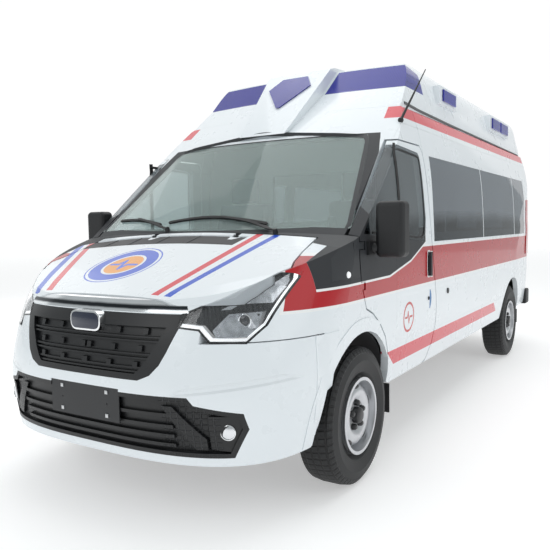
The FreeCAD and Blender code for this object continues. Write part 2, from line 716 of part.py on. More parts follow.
def hood_hinge():
    """Notch and bore in the hood, and the fixed leaf with its pin."""
    across = wide(HOOD_PIN_ACROSS_SHARE)
    along = aft(HOOD_PIN_ALONG_SHARE)
    up = high(HOOD_PIN_SHARE)
    half = wide(0.02)
    radius = size("hinge_pin_dia") / 2
    notch = block(across - half, across + half, along - half, along + wide(0.1), up - wide(0.1), up + wide(0.1))
    bore = rod(radius + size("running_fit"), (across - 2.5 * half, along, up), (across + 2.5 * half, along, up))
    pin = rod(radius, (across - 2.4 * half, along, up), (across + 2.4 * half, along, up))
    leaf = block(across - 0.7 * half, across + 0.7 * half, along - radius * 1.6, along + wide(0.05), up - radius * 3, up + radius * 1.4)
    return notch, bore, leaf.fuse(pin)


HOOD_PIN_ACROSS_SHARE = 0.3046
HOOD_PIN_ALONG_SHARE = -0.0413
HOOD_PIN_SHARE = 0.5169


def build_hood():
    """Hood panel."""
    shape = skin(0, size("hood_thick"), hood_tool())
    notch, bore, leaf = hood_hinge()
    for tool in both_sides(notch) + both_sides(bore):
        shape = shape.cut(tool)
    feature("hood", largest(hood_vent(largest(shape))))


def hood_vent(panel):
    """Sunk vent strip across the rear of the hood."""
    region = plan_prism(plan_points(VENT_SHARES), high(0.4314), high(0.5882))
    return panel.cut(outside(size("vent_sink"), region))


def build_front():
    """Bumper, fenders, grille, strip, lamps and lower grille."""
    gap = size("fixed_gap")
    near, far = aft(-0.3467), aft(-0.0533)
    arch = wheel_cut(FRONT_AXLE, wide(ARCH_INNER_SHARE), size("arch_radius"))
    grille = both(front_points(GRILLE_SHARES))
    strip = both(front_points(STRIP_SHARES))
    lamp = front_points(LAMP_SHARES)
    intake = both(front_points(INTAKE_SHARES))
    hood_gap = hood_tool(size("seam_gap"))
    lamp_gap = front_prism(lamp, near, far, gap).common(plan_prism(plan_points(LAMP_PLAN_SHARES), 0, high(1), gap))
    cut_outs = [front_prism(grille, near, far, gap), front_prism(strip, near, far, gap),
                front_prism(intake, near, far, gap), lamp_gap, mirrored(lamp_gap), hood_gap,
                arch, mirrored(arch)]
    top = high(BUMPER_TOP_SHARE)
    front_zone = block(-wide(1.2), wide(1.2), aft(-0.32), aft(-0.08), high(0.1255), top)
    nose_zone = block(-wide(0.6091), wide(0.6091), aft(-0.32), aft(-0.1867), top, high(0.4196))
    bumper = skin(0, size("wall_thick"), front_zone.fuse(nose_zone))
    for shape in cut_outs:
        bumper = bumper.cut(shape)
    bumper = bumper.cut(block(-wide(1.2), wide(1.2), aft(-0.1173), aft(0), 0, high(1)))
    bumper = bumper.cut(plate_tool(gap))
    feature("front_bumper", largest(bumper))
    nose = block(-wide(1.2), wide(1.2), aft(-0.32), aft(-0.2), 0, high(1))
    face = largest(skin(0, size("hood_thick"), front_prism(grille, near, far).common(nose)).cut(hood_gap))
    feature("grille", largest(slatted(face, near, far)))
    bar = skin(0, size("hood_thick"), front_prism(strip, near, far).common(nose)).cut(hood_gap)
    feature("grille_strip", largest(bar.cut(front_prism(grille, near, far, gap))))
    mesh = skin(size("glass_sink"), size("hood_thick"), front_prism(intake, near, far).common(nose))
    feature("lower_grille", largest(barred(largest(mesh), near, far).cut(plate_tool(gap))))
    lamp_zone = front_prism(lamp, near, far).common(plan_prism(plan_points(LAMP_PLAN_SHARES), 0, high(1)))
    lens = skin(0, size("wall_thick"), lamp_zone).cut(hood_gap).cut(arch)
    lens = largest(lens.cut(front_prism(grille, near, far, gap)).cut(front_prism(strip, near, far, gap)))
    lens = lit(lens, lamp, near, far)
    feature("headlamps", Part.makeCompound([lens, mirrored(lens)]))
    zone = side_prism(side_points(FENDER_SHARES), 1, wide(0.3))
    fender = skin(0, size("hood_thick"), zone)
    door = door_region(size("seam_gap"))
    cowl_gap = cross_prism(side_points(COWL_SHARES), gap)
    for shape in (door, arch, hood_gap, lamp_gap, cowl_gap):
        fender = fender.cut(shape)
    fender = fender.cut(block(-wide(1.2), wide(0.6132), aft(-0.32), aft(-0.16), 0, high(1)))
    fender = largest(fused([largest(fender), door_hinge(DOOR_HINGE_SHARES[0])[2]]))
    feature("fender_left", fender)
    feature("fender_right", mirrored(fender))


def slatted(face, near, far):
    """Grille opening with three pairs of slats and rows of small studs."""
    reach = wide(1)
    half = size("slat_rise") / 2
    forms = []
    for share in SLAT_HEIGHT_SHARES:
        for step in (-1, 1):
            middle = high(share + step * SLAT_PAIR_SHARE)
            forms.append(block(-reach, reach, near, far, middle - half, middle + half))
    edge = wide(STUD_HALF_SHARE)
    for start, share in STUD_ROW_SHARES:
        for index in range(3):
            across = wide(start + index * STUD_PITCH_SHARE)
            stud = block(across - edge, across + edge, near, far, high(share) - edge, high(share) + edge)
            forms += both_sides(stud)
    region = front_prism(both(front_points(GRILLE_OPENING_SHARES)), near, far)
    return sunk(face, region, size("grille_depth"), forms, size("slat_sink"))


def barred(face, near, far):
    """Lower grille with bars, slanted struts and pods that carry the fog lamps."""
    reach = wide(INTAKE_MESH_SHARE)
    half = size("slat_rise")
    forms = [block(-reach, reach, near, far, high(share) - half, high(share) + half) for share in INTAKE_BAR_SHARES]
    for shares in (STRUT_SHARES, POD_SHARES):
        forms += both_sides(front_prism(front_points(shares), near, far))
    region = front_prism(both(front_points(INTAKE_SHARES)), near, far, -size("grille_depth"))
    face = sunk(face, region, size("grille_depth"), forms, size("slat_sink"))
    across, along, up = FOG_SHARES
    middle = (wide(across), aft(along), high(up))
    radius = size("fog_dia") / 2
    cup = barrel(radius * 1.2, middle, FOG_AIM_SHARES, -size("face_gap"), size("grille_depth"))
    lamp = barrel(radius, middle, FOG_AIM_SHARES, size("light_sink"), size("hood_thick"))
    for shape in both_sides(cup):
        face = face.cut(shape)
    return face.fuse(both_sides(lamp))


def lit(lens, lamp, near, far):
    """Headlamp bowl with its light line, bowl edge and projector."""
    rim, line = size("lamp_edge"), size("light_line")
    region = front_prism(lamp, near, far, -rim)
    ring = region.cut(front_prism(lamp, near, far, -rim - line)).cut(front_prism(front_points(LINE_LIMIT_SHARES), near, far))
    bowl = front_points(BOWL_SHARES)
    edge = front_prism(bowl, near, far).cut(front_prism(bowl, near, far, -line * 0.6))
    lens = sunk(lens, region.common(plan_prism(plan_points(LAMP_PLAN_SHARES), 0, high(1), -rim)), size("lamp_depth"),
                [ring, edge], size("light_sink"))
    across, along, up = PROJECTOR_SHARES
    middle = (wide(across), aft(along), high(up))
    projector = barrel(size("projector_dia") / 2, middle, PROJECTOR_AIM_SHARES, size("light_sink"), size("hood_thick"))
    return largest(lens.fuse(projector))


FENDER_SHARES = [
    (-0.32, 0.339), (-0.107, 0.339), (-0.08, 0.243), (0.112, 0.173), (0.12, 0.353), (0, 0.471),
    (-0.008, 0.549), (-0.32, 0.549),
]


PLATE_BACK_SHARE = -0.2656


def plate_tool(extra):
    """Space round the number plate."""
    half = size("plate_width") / 2 + extra
    rise = size("plate_height") / 2 + extra
    middle = high(0.2216)
    return block(-half, half, aft(-0.32), aft(PLATE_BACK_SHARE) + extra, middle - rise, middle + rise)


def build_plate():
    """Blank number plate with two screw holes."""
    plate = doc.addObject("Part::Box", "plate_blank")
    bind(plate, "Length", z.plate_width)
    bind(plate, "Width", z.plate_thick)
    bind(plate, "Height", z.plate_height)
    bind(plate, "Placement.Base.x", -z.plate_width / 2)
    bind(plate, "Placement.Base.y", FRONT_AXLE + z.wheelbase * PLATE_BACK_SHARE - z.plate_thick)
    bind(plate, "Placement.Base.z", z.overall_height * 0.2216 - z.plate_height / 2)
    holes = []
    for index, side in enumerate((-1, 1)):
        hole = doc.addObject("Part::Cylinder", f"plate_hole_{index}")
        bind(hole, "Radius", z.plate_hole_dia / 2)
        bind(hole, "Height", z.plate_thick * 3)
        hole.Placement = Placement(Vector(0, 0, 0), Rotation(Vector(1, 0, 0), 90))
        bind(hole, "Placement.Base.x", z.plate_hole_pitch / 2 * side)
        bind(hole, "Placement.Base.y", FRONT_AXLE + z.wheelbase * PLATE_BACK_SHARE + z.plate_thick)
        bind(hole, "Placement.Base.z", z.overall_height * 0.2216)
        holes.append(hole)
    drill = doc.addObject("Part::MultiFuse", "plate_drill")
    drill.Shapes = holes
    cut = doc.addObject("Part::Cut", "plate_cut")
    cut.Base = plate
    cut.Tool = drill
    keep(cut, "number_plate")


def build_roof():
    """Roof cap with its raised front, light band, lamps and aerial."""
    cap = skin(0, size("wall_thick"), cross_prism(side_points(ROOF_SHARES)))
    cap = cap.cut(rear_door_prism(size("seam_gap")))
    raised = cross_prism(side_points(NOSE_SIDE_SHARES)).common(
        front_prism(both(front_points(NOSE_FRONT_SHARES)), aft(0), aft(0.6)))
    raised = raised.common(cross_prism(side_points(ROOF_SHARES)))
    band_tool = cross_prism(side_points(BAND_SHARES))
    middle = front_prism(both(front_points(NOSE_FRONT_SHARES)), aft(0), aft(0.6), wide(0.012))
    depth = size("lens_thick")
    band = skin(0, depth, band_tool).cut(middle)
    recess = outside(depth + size("face_gap"), cross_prism(side_points(BAND_SHARES), size("face_gap"))).cut(middle)
    screen_gap = screen_prism(size("fixed_gap"))
    cap = cap.fuse(raised.cut(body(size("hood_thick")))).cut(recess).cut(screen_gap)
    lenses = [solid for solid in band.Solids if solid.Volume > high(0.01) ** 3]
    housings = []
    for start, end, low, top in FLASHER_SHARES:
        face = wide(FLASHER_OUT_SHARE)
        base = block(wide(0.7), face, aft(start), aft(end), high(low), high(top))
        housings.append(base.cut(body(size("hood_thick"))))
    for start, end, low, top in LENS_SHARES:
        face = wide(FLASHER_OUT_SHARE)
        lens = block(face + size("face_gap"), face + depth, aft(start), aft(end), high(low), high(top))
        lenses += both_sides(lens.makeFillet(depth * 0.4, [edge for edge in lens.Edges]))
    (start, low), (end, top) = side_points(NOSE_SIDE_SHARES)[:2]
    slab = [(start, low + size("face_gap")), (end, top + size("face_gap")), (end, top + depth), (start, low + depth)]
    peak = front_prism(both(front_points(PEAK_LAMP_SHARES)), aft(0.16), aft(0.32)).common(cross_prism(slab))
    lenses.append(peak)
    for housing in housings:
        cap = cap.fuse(housing).fuse(mirrored(housing))
    feature("roof_cap", largest(cap.removeSplitter()))
    feature("roof_lamps", Part.makeCompound(lenses))


PEAK_LAMP_SHARES = [(0.012, 0.857), (0.173, 0.921), (0.102, 0.955)]
FLASHER_OUT_SHARE = 0.85
FLASHER_SHARES = [(0.469, 0.587, 0.89, 0.943), (0.891, 1.104, 0.886, 0.943)]
LENS_SHARES = [
    (0.485, 0.571, 0.9, 0.935), (0.907, 0.992, 0.896, 0.935), (1.003, 1.088, 0.896, 0.935),
]


def build_aerial():
    """Raked roof aerial."""
    foot = Vector(wide(0.9066), aft(0.2107), high(0.789))
    tip = Vector(wide(0.9645), aft(0.2907), high(0.9298))
    mast = Part.makeCone(size("antenna_base_dia") / 2, size("antenna_tip_dia") / 2, (tip - foot).Length, foot, tip - foot)
    knob = Part.makeSphere(size("antenna_base_dia"), foot)
    feature("aerial", largest(mast.fuse(knob).cut(body(-size("face_gap")))))


def build_floor():
    """Floor, frame rails, wheel boxes and front wall."""
    top = size("floor_top")
    low = top - size("floor_thick")
    inside = body(size("wall_thick") + size("fixed_gap"))
    end = size("overall_length") / 2 - wide(STEP_LENGTH_SHARE) - size("fixed_gap")
    slab = block(-wide(1), wide(1), aft(0.0347), end, low, top).common(inside)
    well = wheel_cut(FRONT_AXLE, wide(ARCH_INNER_SHARE) - size("liner_thick") * 2, size("arch_radius") + size("liner_thick") * 2)
    box = block(wide(REAR_ARCH_INNER_SHARE) - size("liner_thick") * 3, wide(1), float(REAR_AXLE) - size("arch_radius"),
                float(REAR_AXLE) + size("arch_radius"), low, high(0.3294)).common(inside)
    hollow = block(wide(REAR_ARCH_INNER_SHARE), wide(1.1), float(REAR_AXLE) - size("arch_radius") + size("liner_thick") * 3,
                   float(REAR_AXLE) + size("arch_radius") - size("liner_thick") * 3, 0, high(0.3216))
    rails = [block(size("rail_offset") - size("rail_width") / 2, size("rail_offset") + size("rail_width") / 2,
                   aft(-0.208), aft(1.2133), low - size("rail_height"), low)]
    wall = block(-wide(1), wide(1), aft(0.0267), aft(0.0347), low, high(0.4863)).common(inside)
    beam = block(-size("rail_offset"), size("rail_offset"), aft(-0.128), aft(-0.112), low - size("rail_height") * 0.7, low)
    shape = fused([slab, wall, box, mirrored(box), beam] + both_sides(rails[0]))
    clear = block(wide(0.9259), wide(1.1), aft(-0.1), aft(0.312), 0, high(1))
    shape = shape.cut(clear).cut(mirrored(clear))
    for tool in both_sides(well) + both_sides(hollow):
        shape = shape.cut(tool)
    feature("floor_frame", solids_of(shape))
    liner = []
    outer = wheel_cut(FRONT_AXLE, wide(ARCH_INNER_SHARE), size("arch_radius") + size("liner_thick"))
    shell = outer.cut(wheel_cut(FRONT_AXLE, wide(ARCH_INNER_SHARE) - size("joined"), size("arch_radius")))
    shell = shell.common(body(size("wall_thick") + size("fixed_gap")))
    shell = shell.cut(block(-wide(2), wide(2), aft(-1), aft(1), 0, high(0.1647)))
    shell = shell.cut(block(0, wide(0.715), aft(-1), aft(1), 0, high(1)))
    liner = both_sides(solids_of(shell))
    feature("front_arch_liners", Part.makeCompound(liner))


def build_cab():
    """Dashboard, seats and the wall behind them."""
    inside = body(size("wall_thick") + size("fixed_gap"))
    dash = cross_prism(side_points(DASH_SHARES)).common(inside)
    dash = dash.common(block(-wide(0.9), wide(0.9), aft(0.0347) + size("face_gap"), aft(0.4), 0, high(1)))
    centre = Vector(wide(WHEEL_SIDE_SHARE), aft(0.1333), high(0.4431))
    axis = Vector(0, math.sin(WHEEL_TILT), math.cos(WHEEL_TILT))
    column = rod(size("handwheel_grip") * 0.9, tuple(centre - axis * size("handwheel_dia") * 0.09), tuple(centre - axis * size("handwheel_dia") * 0.75))
    shaft = rod(size("shaft_dia") / 2, tuple(centre - axis * size("handwheel_dia") * 0.3), tuple(centre))
    feature("dashboard", largest(fused([dash, column, shaft])))
    wall = block(-wide(1), wide(1), aft(0.3173), aft(0.324), size("floor_top") + size("fixed_gap"), high(1)).common(inside)
    wall = wall.cut(block(wide(0.9259), wide(1.1), aft(0), aft(0.312), 0, high(1)))
    window = block(-wide(0.3), wide(0.3), aft(0.2933), aft(0.3467), high(0.549), high(0.6863))
    feature("partition", solids_of(wall.cut(window)))
    seats = []
    for side in (-1, 1):
        middle = side * wide(0.4873)
        half = wide(0.2386)
        base = block(middle - half * 0.8, middle + half * 0.8, aft(0.1707), aft(0.272), size("floor_top") + size("face_gap"), high(0.3294))
        cushion = cushion_of(middle - half, middle + half, aft(0.1547), aft(0.2827), high(0.3255), high(0.3765))
        back = cushion_of(middle - half, middle + half, 0, wide(0.132), 0, high(0.2588))
        back.rotate(Vector(0, 0, 0), Vector(1, 0, 0), -8)
        back.translate(Vector(0, aft(0.2507), high(0.3529)))
        rest = cushion_of(middle - half * 0.55, middle + half * 0.55, aft(0.2747), aft(0.2987), high(0.6), high(0.6824))
        seats.append(fused([base, cushion, back, rest]))
    feature("cab_seats", Part.makeCompound([solids_of(seat) for seat in seats]))
    rim = Part.makeTorus(size("handwheel_dia") / 2 - size("handwheel_grip") / 2, size("handwheel_grip") / 2)
    hub = Part.makeCylinder(size("handwheel_dia") * 0.13, size("handwheel_grip") * 1.4, Vector(0, 0, -size("handwheel_grip") * 0.9))
    spokes = [hub]
    for angle in (0, 90, 180):
        spoke = block(0, size("handwheel_dia") / 2 - size("handwheel_grip") / 2, -size("handwheel_grip") * 0.6, size("handwheel_grip") * 0.6,
                      -size("handwheel_grip") * 0.3, size("handwheel_grip") * 0.3)
        spoke.rotate(Vector(0, 0, 0), Vector(0, 0, 1), angle)
        spokes.append(spoke)
    wheel = fused([rim] + spokes)
    bore = Part.makeCylinder(size("shaft_dia") / 2 + size("running_fit"), size("handwheel_grip") * 2,
                             Vector(0, 0, -size("handwheel_grip") * 1.98))
    wheel = wheel.cut(bore)
    tilt = Rotation(Vector(1, 0, 0), -math.degrees(WHEEL_TILT))
    feature("steering_wheel", solids_of(wheel), Placement(centre, tilt))


WHEEL_SIDE_SHARE = 0.4569
WHEEL_TILT = math.radians(35)


def cushion_of(x0, x1, y0, y1, z0, z1):
    """Rounded cushion."""
    shape = block(x0, x1, y0, y1, z0, z1)
    return shape.makeFillet(min(y1 - y0, z1 - z0) * 0.3, shape.Edges)


def ring_sketch(host, name, points, role="XZ_Plane"):
    """Closed profile in a body's base plane, each corner tied to the sheet."""
    sketch = host.newObject("Sketcher::SketchObject", name)
    plane = [item for item in host.Origin.OriginFeatures if item.Role == role][0]
    sketch.AttachmentSupport = [(plane, "")]
    sketch.MapMode = "FlatFace"
    count = len(points)
    for i in range(count):
        a, b = points[i], points[(i + 1) % count]
        sketch.addGeometry(Part.LineSegment(Vector(float(a[0]), float(a[1]), 0), Vector(float(b[0]), float(b[1]), 0)))
    for i in range(count):
        sketch.addConstraint(Sketcher.Constraint("Coincident", i, 2, (i + 1) % count, 1))
    for i, (across, up) in enumerate(points):
        for kind, dim in (("DistanceX", across), ("DistanceY", up)):
            index = sketch.addConstraint(Sketcher.Constraint(kind, -1, 1, i, 1, float(dim)))
            sketch.setExpression(f"Constraints[{index}]", dim.text)
    return sketch


def turned(name, points):
    """Turned body about its own upright axis."""
    host = doc.addObject("PartDesign::Body", name)
    sketch = ring_sketch(host, name + "_profile", points)
    spin = host.newObject("PartDesign::Revolution", name + "_turn")
    spin.Profile = sketch
    spin.ReferenceAxis = (sketch, ["V_Axis"])
    spin.Angle = 360
    sketch.Visibility = False
    host.Tip = spin
    return host


def tyre_points():
    """Half-section of a tyre, radius against width."""
    r, w, b = z.tyre_dia / 2, z.tyre_width, z.rim_dia / 2
    return [(b, w * -0.34), (b + w * 0.12, w * -0.44), (b + w * 0.4, w * -0.5), (r - w * 0.14, w * -0.46),
            (r - w * 0.03, w * -0.38), (r, w * -0.2), (r, w * 0.2), (r - w * 0.03, w * 0.38),
            (r - w * 0.14, w * 0.46), (b + w * 0.4, w * 0.5), (b + w * 0.12, w * 0.44), (b, w * 0.34),
            (b - w * 0.06, w * 0.34), (b - w * 0.06, w * -0.34)]


def rim_points():
    """Section of a rim: barrel, dished disc and hub, outer side up."""
    b, w, s = z.rim_dia / 2 - z.tyre_width * 0.06 - z.face_gap, z.tyre_width, z.spindle_dia / 2 + z.running_fit
    return [(s, w * -0.30), (s + w * 0.13, w * -0.30), (s + w * 0.13, w * 0.07), (b * 0.40, w * 0.09),
            (b * 0.50, w * 0.19), (b * 0.62, w * 0.20), (b * 0.72, w * 0.14), (b * 0.84, w * -0.01),
            (b - w * 0.05, w * -0.04), (b - w * 0.05, w * -0.46), (b + w * 0.05, w * -0.48), (b + w * 0.05, w * -0.46),
            (b, w * -0.42), (b, w * 0.42), (b + w * 0.05, w * 0.46), (b + w * 0.05, w * 0.48), (b - w * 0.03, w * 0.48),
            (b - w * 0.07, w * 0.16), (b * 0.85, w * 0.07), (b * 0.74, w * 0.22), (b * 0.64, w * 0.27),
            (b * 0.51, w * 0.26), (b * 0.42, w * 0.17), (s, w * 0.17)]


def slot_points():
    """Outline of one vent slot in the rim, above the axis."""
    b = z.rim_dia / 2
    return [(b * -0.09, b * 0.60), (b * 0.09, b * 0.60), (b * 0.17, b * 0.635), (b * 0.18, b * 0.68),
            (b * 0.10, b * 0.71), (b * -0.10, b * 0.71), (b * -0.18, b * 0.68), (b * -0.17, b * 0.635)]


def add_slots(host):
    """Cut a ring of vent slots through a turned rim."""
    sketch = ring_sketch(host, host.Name + "_slot", slot_points(), "XY_Plane")
    cut = host.newObject("PartDesign::Pocket", host.Name + "_cut")
    cut.Profile = sketch
    cut.Type = "ThroughAll"
    cut.SideType = "Symmetric"
    sketch.Visibility = False
    pattern = host.newObject("PartDesign::PolarPattern", host.Name + "_ring")
    pattern.Originals = [cut]
    pattern.Axis = (sketch, ["N_Axis"])
    pattern.Angle = 360
    pattern.Occurrences = SLOT_COUNT
    host.Tip = pattern


SLOT_COUNT = 5


def build_wheels():
    """Tyres and rims at the four corners."""
    places = [
        ("front_left", z.front_track / 2, FRONT_AXLE, 1),
        ("front_right", -z.front_track / 2, FRONT_AXLE, -1),
        ("rear_left", z.rear_track / 2, REAR_AXLE, 1),
        ("rear_right", -z.rear_track / 2, REAR_AXLE, -1),
    ]
    for name, across, along, side in places:
        for kind, points in (("tyre", tyre_points()), ("rim", rim_points())):
            item = turned(f"{kind}_{name}_body", points)
            if kind == "rim":
                add_slots(item)
            item.Placement = Placement(Vector(0, 0, 0), Rotation(Vector(0, 1, 0), 90 * side))
            bind(item, "Placement.Base.x", across)
            bind(item, "Placement.Base.y", along)
            bind(item, "Placement.Base.z", AXLE_HEIGHT)
            keep(item, f"{kind}_{name}")


def build_chassis():
    """Engine block, front suspension, knuckles, rear axle, springs, tank and exhaust."""
    engine = doc.addObject("Part::Box", "engine_form")
    bind(engine, "Length", z.engine_width)
    bind(engine, "Width", z.engine_length)
    bind(engine, "Height", z.engine_height)
    bind(engine, "Placement.Base.x", -z.engine_width / 2)
    bind(engine, "Placement.Base.y", FRONT_AXLE - z.engine_length - z.wheelbase * 0.0267)
    bind(engine, "Placement.Base.z", z.floor_top - z.floor_thick)
    keep(engine, "engine_block")
    axle = float(AXLE_HEIGHT)
    front = float(FRONT_AXLE)
    rear = float(REAR_AXLE)
    pin = size("pin_offset")
    pin_across = pin
    rail = size("rail_offset")
    low = size("floor_top") - size("floor_thick") - size("rail_height")
    cross = block(-rail, rail, front - wide(0.06), front + wide(0.06), low - wide(0.06), low - size("face_gap"))
    pieces = [cross]
    for side in (-1, 1):
        arm = rod(wide(0.022), (side * rail * 0.95, front, low - wide(0.03)), (side * pin_across, front, axle * 0.6))
        strut = rod(wide(0.045), (side * wide(0.65), front, axle * 1.35), (side * wide(0.62), front, high(0.4)))
        cap = block(side * wide(0.62) - wide(0.08), side * wide(0.62) + wide(0.08), front - wide(0.08), front + wide(0.08),
                    high(0.3922), high(0.4039))
        link = rod(wide(0.02), (side * wide(0.62), front, high(0.3922)), (side * rail, front, high(0.3882)))
        post = block(side * rail - wide(0.02), side * rail + wide(0.02), front - wide(0.02), front + wide(0.02),
                     low + size("rail_height") + size("face_gap"), high(0.3922))
        kingpin = rod(size("steer_pin_dia") / 2, (side * pin_across, front, axle * 0.56), (side * pin_across, front, axle * 0.86))
        pieces += [arm, strut, cap, link, post, kingpin]
    feature("front_suspension", solids_of(fused(pieces)))
    half = wide(0.025)
    spindle_end = size("front_track") / 2 + size("tyre_width") * SPINDLE_END_SHARE
    post = block(pin - half, pin + half, front - half * 1.4, front + half * 1.4, axle * 0.74, axle * 1.38)
    spindle = rod(size("spindle_dia") / 2, (pin, front, axle), (spindle_end, front, axle))
    collar = rod(size("spindle_dia") * 0.75, (pin, front, axle), (pin + half * 1.6, front, axle))
    bore = rod(size("steer_pin_dia") / 2 + size("running_fit"), (pin, front, axle * 0.6), (pin, front, axle * 0.87))
    knuckle = solids_of(fused([post, spindle, collar]).cut(bore))
    feature("knuckle_left", knuckle)
    feature("knuckle_right", mirrored(knuckle))
    hub = size("rear_track") / 2
    tube = wide(0.055)
    drum = wide(0.15)
    tip = size("spindle_dia") / 2
    right_half = [(0, tube * 2.2), (tube * 1.2, tube * 1.9), (tube * 2.0, tube), (hub * 0.82, tube), (hub * 0.82, drum),
                  (hub * 0.895, drum), (hub * 0.895, tip), (hub + size("tyre_width") * SPINDLE_END_SHARE, tip)]
    outline = [(-x, r) for x, r in reversed(right_half[1:])] + right_half
    outline = [(outline[0][0], 0)] + outline + [(outline[-1][0], 0)]
    face = Part.Face(Part.makePolygon([Vector(x, rear, axle + r) for x, r in outline + outline[:1]]))
    feature("rear_axle", face.revolve(Vector(0, rear, axle), Vector(1, 0, 0), 360))
    leaves = []
    for side in (-1, 1):
        middle = side * wide(0.56)
        stack = block(middle - wide(0.035), middle + wide(0.035), rear - high(0.1176), rear + high(0.1176),
                      axle - wide(0.10), axle - wide(0.055) - size("face_gap"))
        arc = []
        for step in range(-6, 7):
            along = step / 6
            arc.append((rear + along * high(0.2588), axle - wide(0.062) + along * along * high(0.0549)))
        outline = arc + [(a, b + wide(0.02)) for a, b in reversed(arc)]
        blade = Part.Face(Part.makePolygon([Vector(middle - wide(0.035), a, b - wide(0.024)) for a, b in outline + outline[:1]]))
        hangers = [block(middle - wide(0.03), middle + wide(0.03), rear + end * high(0.2529) - wide(0.012),
                         rear + end * high(0.2529) + wide(0.012), axle + wide(0.06),
                         low + size("rail_height") - size("face_gap")) for end in (-1, 1)]
        leaves.append(fused([stack, blade.extrude(Vector(wide(0.07), 0, 0))] + hangers))
    feature("leaf_springs", Part.makeCompound([solids_of(leaf) for leaf in leaves]))
    tank = block(wide(0.06), rail - size("rail_width") / 2 - size("fixed_gap"), aft(0.32), aft(0.56), high(0.1176), size("floor_top") - size("floor_thick") - size("face_gap"))
    feature("fuel_tank", tank.makeFillet(wide(0.03), tank.Edges))
    pipe = rod(wide(0.03), (-wide(0.22), aft(0.0933), high(0.1647)), (-wide(0.22), aft(0.8533), high(0.1647)))
    drum = rod(wide(0.09), (-wide(0.22), aft(0.4267), high(0.1647)), (-wide(0.22), aft(0.6133), high(0.1647)))
    hangers = [block(-wide(0.23), -wide(0.21), aft(along), aft(along) + wide(0.02), high(0.1647),
                     size("floor_top") - size("floor_thick") - size("face_gap")) for along in (0.1867, 0.5067, 0.8)]
    feature("exhaust", solids_of(fused([pipe, drum] + hangers)))


SPINDLE_END_SHARE = 0.2


def step_box(extra=0):
    """Space of the rear step."""
    rear = size("overall_length") / 2
    return block(-wide(0.975) - extra, wide(0.975) + extra, rear - wide(STEP_LENGTH_SHARE) - extra, rear + extra,
                 high(0.1725) - extra, high(0.2392) + extra)


STEP_LENGTH_SHARE = 0.16


def build_rear():
    """Rear step, tail lamps and mud flaps."""
    step = step_box()
    step = step.makeFillet(wide(0.02), step.Edges)
    feature("rear_step", step)
    tool = front_prism(front_points(TAIL_SHARES), aft(1.2), aft(1.3867))
    lamp = tool.common(body(-wide(0.008))).cut(body(-size("face_gap")))
    feature("tail_lamps", Part.makeCompound(both_sides(solids_of(lamp))))
    flaps = []
    for along, low, top in FLAP_SHARES:
        back = aft(along) + wide(0.008)
        flap = block(wide(0.75), wide(0.85), aft(along), back, high(low), high(top) - size("face_gap"))
        apron = block(wide(0.75), wide(0.95), aft(along), back, high(low), high(FLAP_TOP_SHARE))
        flaps += both_sides(flap.fuse(apron).removeSplitter())
    feature("mud_flaps", Part.makeCompound(flaps))


TAIL_SHARES = [(0.885, 0.4), (1.005, 0.4), (1.005, 0.635), (0.885, 0.635)]
FLAP_SHARES = [(0.127, 0.098, 0.208), (1.123, 0.11, 0.208)]
FLAP_TOP_SHARE = 0.1667


def rear_face(height):
    """Length position of the rear face at a height."""
    rear = size("overall_length") / 2 - wide(0.03)
    return rear - REAR_LEAN_SHARE * (height - high(0.2))


def hinge_pieces(door_side):
    """Hinge halves on the left rear corner, for the door or for the body."""
    radius = size("hinge_radius")
    rise = size("hinge_rise")
    across = wide(HINGE_PIN_SHARE)
    along = rear_face(high(HINGE_LOW_SHARE)) + size("hinge_out")
    pieces = []
    for share in HINGE_HEIGHT_SHARES:
        low = high(share)
        play = size("end_play")
        spans = [(low, low + rise)]
        if not door_side:
            spans = [(low - rise - play, low - play), (low + rise + play, low + 2 * rise + play)]
        for start, end in spans:
            barrel = Part.makeCylinder(radius, end - start, Vector(across, along, start))
            back = along + radius * 0.4
            sunk = rear_face(start) - size("wall_thick") * 0.5
            if door_side:
                leaf = block(across - wide(0.07), across, rear_face(start) + size("hinge_lift"), back, start, end)
                leaf = leaf.fuse(block(across - wide(0.07), wide(HINGE_DOOR_SHARE), sunk, back, start, end))
            else:
                leaf = block(across, across + wide(0.045), sunk, back, start, end)
            bore = Part.makeCylinder(radius * 0.5 + size("running_fit"), end - start, Vector(across, along, start))
            piece = barrel.fuse(leaf)
            pieces.append(piece.cut(bore) if door_side else piece)
        if not door_side:
            pieces.append(Part.makeCylinder(radius * 0.5, 3 * rise, Vector(across, along, low - rise)))
    return pieces


HINGE_PIN_SHARE = 0.885
HINGE_LOW_SHARE = 0.3137
HINGE_DOOR_SHARE = 0.8528
HINGE_HEIGHT_SHARES = (0.2902, 0.3647, 0.6667)


for build in (build_doors, build_mirrors, build_side_walls, build_rear_doors, build_frame, build_hood, build_front,
              build_plate, build_roof, build_aerial, build_floor, build_cab, build_wheels, build_chassis, build_rear):
    build()
doc.recompute()

for item in made:
    states = [state for state in item.State if state in ("Invalid", "Error")]
    shape = item.Shape
    if states or shape.isNull() or not shape.isValid():
        raise ValueError(f"{item.Label} is not valid {states}")
    shape.exportStep(f"parts/{item.Label}.step")
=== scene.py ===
"""Looks of a high-roof van ambulance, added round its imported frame. Every length is in metres."""
import logging
import math
from dataclasses import dataclass
from enum import Enum
from typing import Callable, Iterable, Optional, Sequence, Union

import bmesh
import bpy
import numpy
from mathutils import Matrix, Vector
from mathutils.bvhtree import BVHTree


